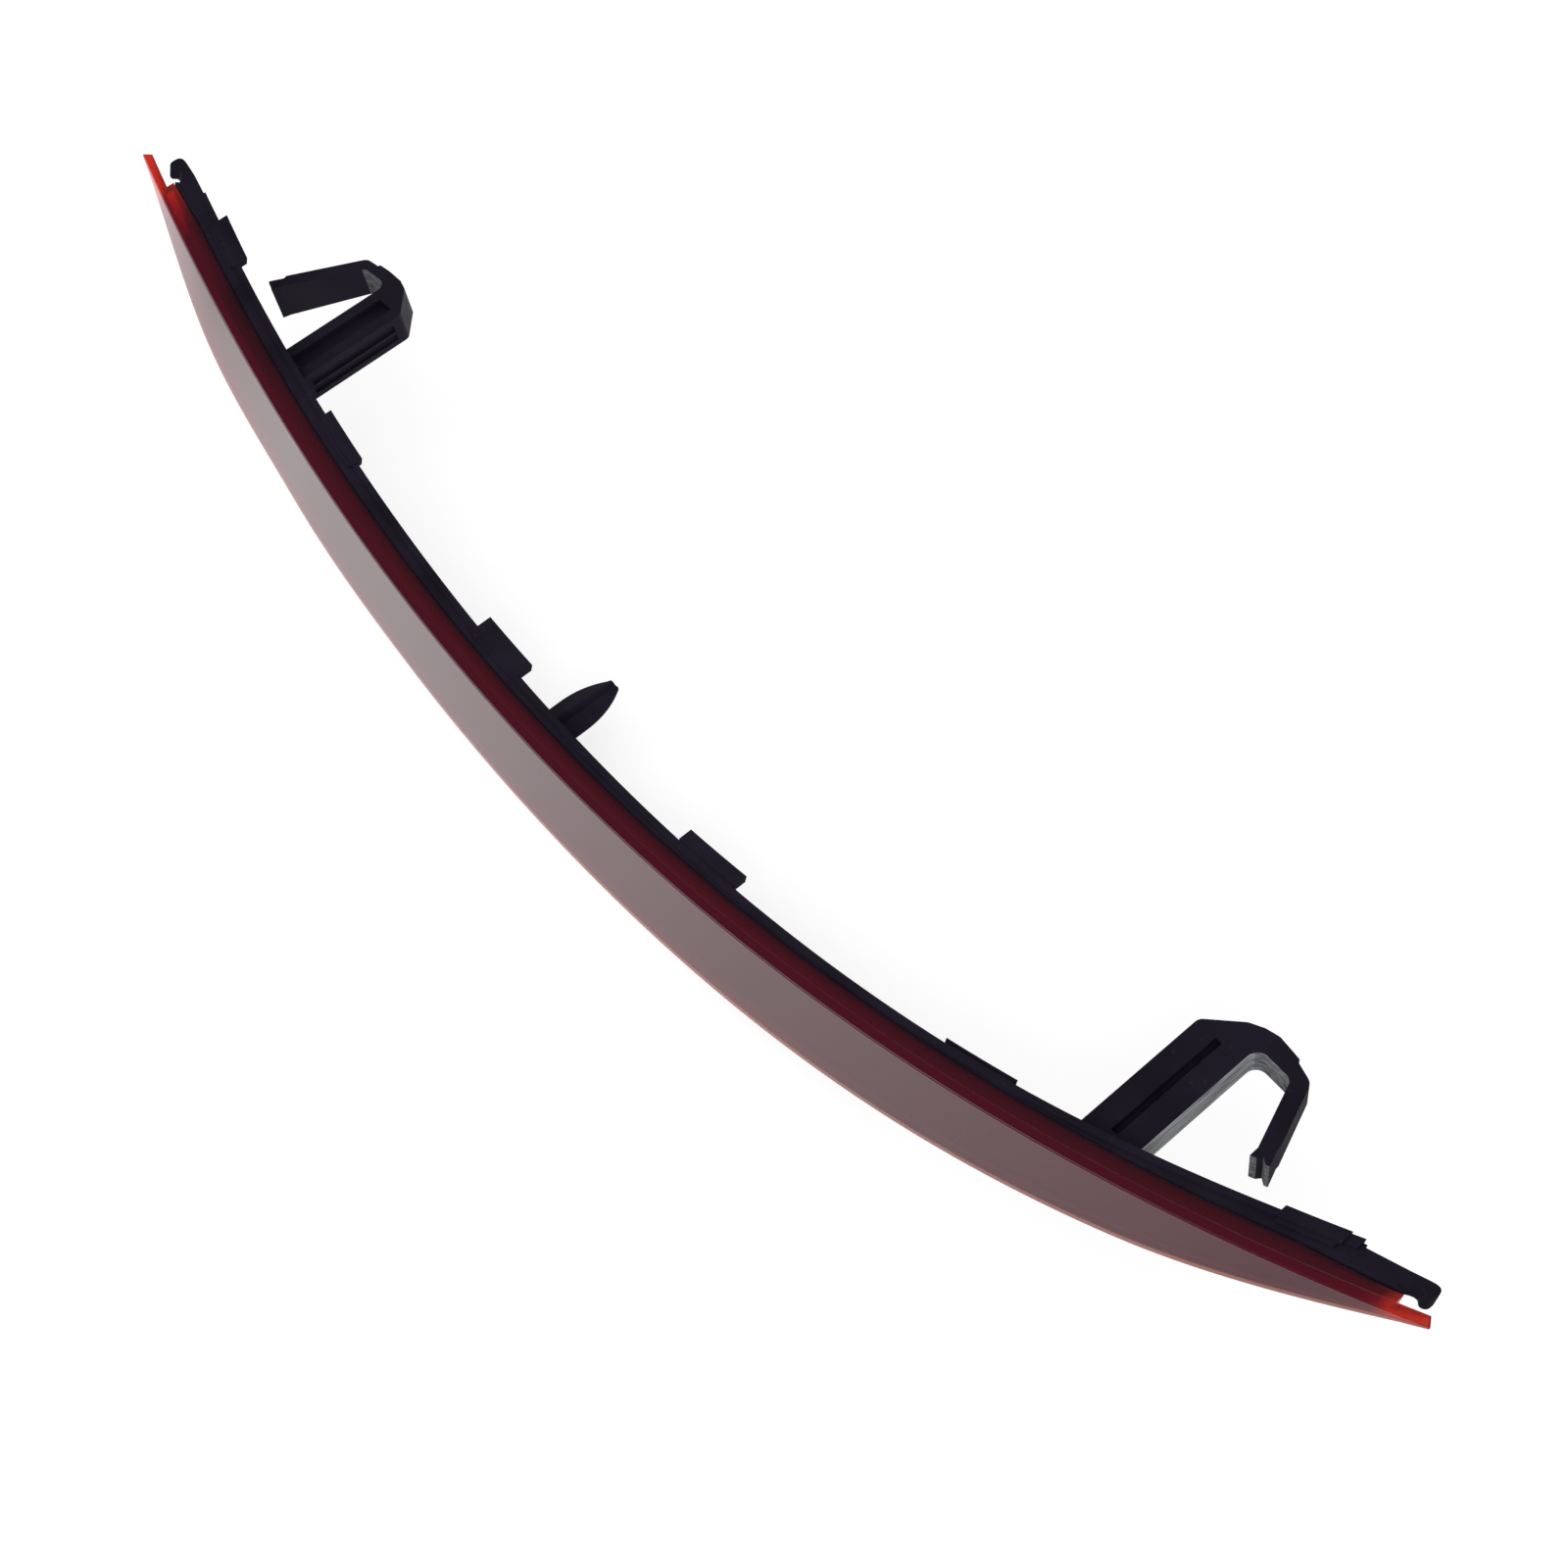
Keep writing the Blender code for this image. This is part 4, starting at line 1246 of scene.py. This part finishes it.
# Finishes of the inside: name, two colours, roughness, grain's scale and depth, metal, and the nodes
INSIDE = (
    ("Seal rubber", (0.010, 0.009, 0.013), (0.016, 0.014, 0.019), 0.7, 1500.0, 0.00002, 0, ["lens_seal"]),
    ("Bezel plastic", (0.06, 0.055, 0.055), (0.075, 0.07, 0.07), 0.5, 2200.0, 0.00002, 0, ["led_bezel"]),
    (
        "Lamp package", (0.74, 0.71, 0.62), (0.7, 0.66, 0.56), 0.4, 1900.0, 0.00001, 0,
        [f"led_{i:02d}" for i in range(1, LED_COUNT + 1)],
    ),
    (
        "Component body", (0.035, 0.035, 0.04), (0.05, 0.05, 0.055), 0.45, 2000.0, 0.00001, 0,
        ["diode", *(f"resistor_{i}" for i in range(1, len(RESISTORS) + 1))],
    ),
    (
        "Inlet plastic", (0.022, 0.022, 0.024), (0.03, 0.03, 0.033), 0.48, 2400.0, 0.00002, 0,
        ["connector_header"],
    ),
    (
        "Tinned blade", (0.66, 0.63, 0.56), (0.6, 0.57, 0.5), 0.28, 1200.0, 0.00001, 1,
        ["supply_terminal", "ground_terminal"],
    ),
)


def paint_nodes(finish, names):
    for name in names:
        node = frame["nodes"][name]
        if node.material_slots:
            for slot in node.material_slots:
                slot.material = finish.material
        else:
            node.data.materials.append(finish.material)


def paint_inside():
    """Gives the packed nodes that show as they are their own finishes."""
    for *look, metal, names in INSIDE:
        paint_nodes(plain_finish(*look, Metallic=metal), names)
    paint_nodes(board_finish(), ["led_board"])


# Stage

FLOOR_HALF = 4.0
FLOOR_GREY = (0.36, 0.36, 0.36)
# Runs along X over which the floor that gloss sees goes from gleam to middle and from there to shade
GLEAM_RUN = (-0.24, -0.03)
SHADE_RUN = (-0.03, 0.16)
# World that gloss sees: between these heights of view it goes from the first strength to the second
CEILING = (0.03, 0.4, 1.0, 0.045)
# Each lamp: name, place, size and share of the key's power
LAMPS = (("Key", (0.75, -0.55, 0.8), 0.7, 1.0), ("Fill", (-0.8, -0.4, 0.6), 0.8, 0.5))


def stage_rays(tree):
    """Masks of the rays that see the stage directly or through glass, and of those that gloss sends on."""
    rays = add_node(tree, "ShaderNodeLightPath")
    direct = solve(tree, "MAXIMUM", rays["Is Camera Ray"], rays["Is Transmission Ray"])
    return direct, rays["Is Glossy Ray"]


def make_floor():
    """White floor that takes a soft shadow, and whose brightness in gloss falls from left to right."""
    stage = settings("stage")
    bm = bmesh.new()
    level = Matrix.Translation((0, 0, stage.floor))
    bmesh.ops.create_grid(bm, x_segments=8, y_segments=8, size=FLOOR_HALF, matrix=level)
    floor = mesh_object("studio_floor", bm)
    finish = Finish("Studio floor", FLOOR_GREY, roughness=0.9, Specular_IOR_Level=0.0)
    tree = finish.tree
    x = add_node(tree, "ShaderNodeSeparateXYZ", finish.place)["X"]
    gleam = spread(tree, x, *GLEAM_RUN, stage.floor_gleam, stage.floor_mid)
    shade = solve(tree, "MULTIPLY", gleam, spread(tree, x, *SHADE_RUN, 1.0, stage.floor_shade))
    direct, glossy = stage_rays(tree)
    seen = solve(tree, "MAXIMUM", direct, solve(tree, "MULTIPLY", glossy, shade))
    lit = solve(tree, "MULTIPLY", seen, stage.floor_white)
    glow = add_node(tree, "ShaderNodeEmission", Strength=lit)[0]
    both = add_node(tree, "ShaderNodeAddShader", finish.shader.outputs[0], glow)[0]
    tree.links.new(both, tree.nodes["Material Output"].inputs["Surface"])
    floor.data.materials.append(finish.material)


def make_world():
    """White round the stage, with a dark ceiling for gloss and a softer light on the lamp itself."""
    world = bpy.data.worlds.new("Studio")
    bpy.context.scene.world = world
    world.use_nodes = True
    tree = world.node_tree
    view = add_node(tree, "ShaderNodeTexCoord")["Generated"]
    z = add_node(tree, "ShaderNodeSeparateXYZ", view)["Z"]
    direct, glossy = stage_rays(tree)
    seen = solve(tree, "MAXIMUM", direct, solve(tree, "MULTIPLY", glossy, spread(tree, z, *CEILING)))
    other = solve(tree, "SUBTRACT", 1.0, solve(tree, "MAXIMUM", direct, glossy))
    soft = solve(tree, "MULTIPLY", other, settings("stage").world)
    ground = tree.nodes["Background"].inputs
    fill(tree, ground["Color"], (1, 1, 1, 1))
    fill(tree, ground["Strength"], solve(tree, "ADD", seen, soft))


def add_lamp(name, location, size, power):
    data = bpy.data.lights.new(name, "AREA")
    data.shape = "DISK"
    data.size = size
    data.energy = power
    lamp = add_object(name, data)
    lamp.location = location
    lamp.rotation_euler = (-Vector(location)).to_track_quat("-Z", "Y").to_euler()


def make_camera():
    """The photo's point of view."""
    data = bpy.data.cameras.new("Photo view")
    data.lens = 51.75
    data.sensor_width = 36.0
    data.clip_start = 0.01
    camera = add_object("Photo view", data)
    right = Vector((0.63385, 0.76173, -0.13414))
    down = Vector((0.58811, -0.58731, -0.55605))
    ahead = Vector((-0.50235, 0.27356, -0.82025))
    matrix = Matrix((right, -down, -ahead)).transposed().to_4x4()
    matrix.translation = (0.26236, -0.10250, 0.38614)
    camera.matrix_world = matrix
    bpy.context.scene.camera = camera


def make_stage():
    bpy.context.scene.view_settings.view_transform = "Standard"
    make_floor()
    make_world()
    for name, location, size, power in LAMPS:
        add_lamp(name, location, size, settings("stage").key * power)
    make_camera()


def operator(name, label, docstring, *steps):
    """One registered operator class that runs these steps."""

    def execute(self, context):
        for step in steps:
            step()
        return {"FINISHED"}

    return type(
        "STOPLAMP_OT_" + name,
        (bpy.types.Operator,),
        {
            "__doc__": docstring,
            "bl_idname": "stop_lamp." + name,
            "bl_label": label,
            "bl_options": {"REGISTER", "UNDO"},
            "execute": execute,
        },
    )


OPERATORS = (
    operator("stage", "Stage", "Floor, world, lamps and camera", make_stage),
    operator("lens", "Lens", "Red lens that follows the lamp's bow", make_lens),
    operator(
        "housing", "Housing", "Housing, press tabs, end hooks and rest pad",
        make_housing, make_tabs, make_hooks, make_pad,
    ),
    operator("clips", "Clips and pin", "Spring clips and locating pin", make_clips, make_pin),
    operator(
        "inside", "Light source", "Lamp board, lamps, bezel and inlet",
        paint_inside, make_lamp_fills, make_solder,
    ),
)


class STOPLAMP_PT_panel(bpy.types.Panel):
    """Lists the pieces of the stop lamp and their sizes."""

    bl_idname = "STOPLAMP_PT_panel"
    bl_label = "Stop lamp"
    bl_space_type = "VIEW_3D"
    bl_region_type = "UI"
    bl_category = "Stop lamp"

    def draw(self, context):
        for made in OPERATORS:
            self.layout.operator(made.bl_idname)
        for name, group in SETTINGS.items():
            column = self.layout.box().column()
            column.label(text=group.__doc__)
            for key in group.__annotations__:
                column.prop(getattr(context.scene, name), key)


def register():
    for made in (*SETTINGS.values(), *OPERATORS, STOPLAMP_PT_panel):
        bpy.utils.register_class(made)
    for name, group in SETTINGS.items():
        setattr(bpy.types.Scene, name, bpy.props.PointerProperty(type=group))


def unregister():
    for name in SETTINGS:
        delattr(bpy.types.Scene, name)
    for made in reversed((*SETTINGS.values(), *OPERATORS, STOPLAMP_PT_panel)):
        bpy.utils.unregister_class(made)


def main():
    register()
    for made in OPERATORS:
        group, name = made.bl_idname.split(".")
        getattr(getattr(bpy.ops, group), name)()


if __name__ == "__main__":
    main()
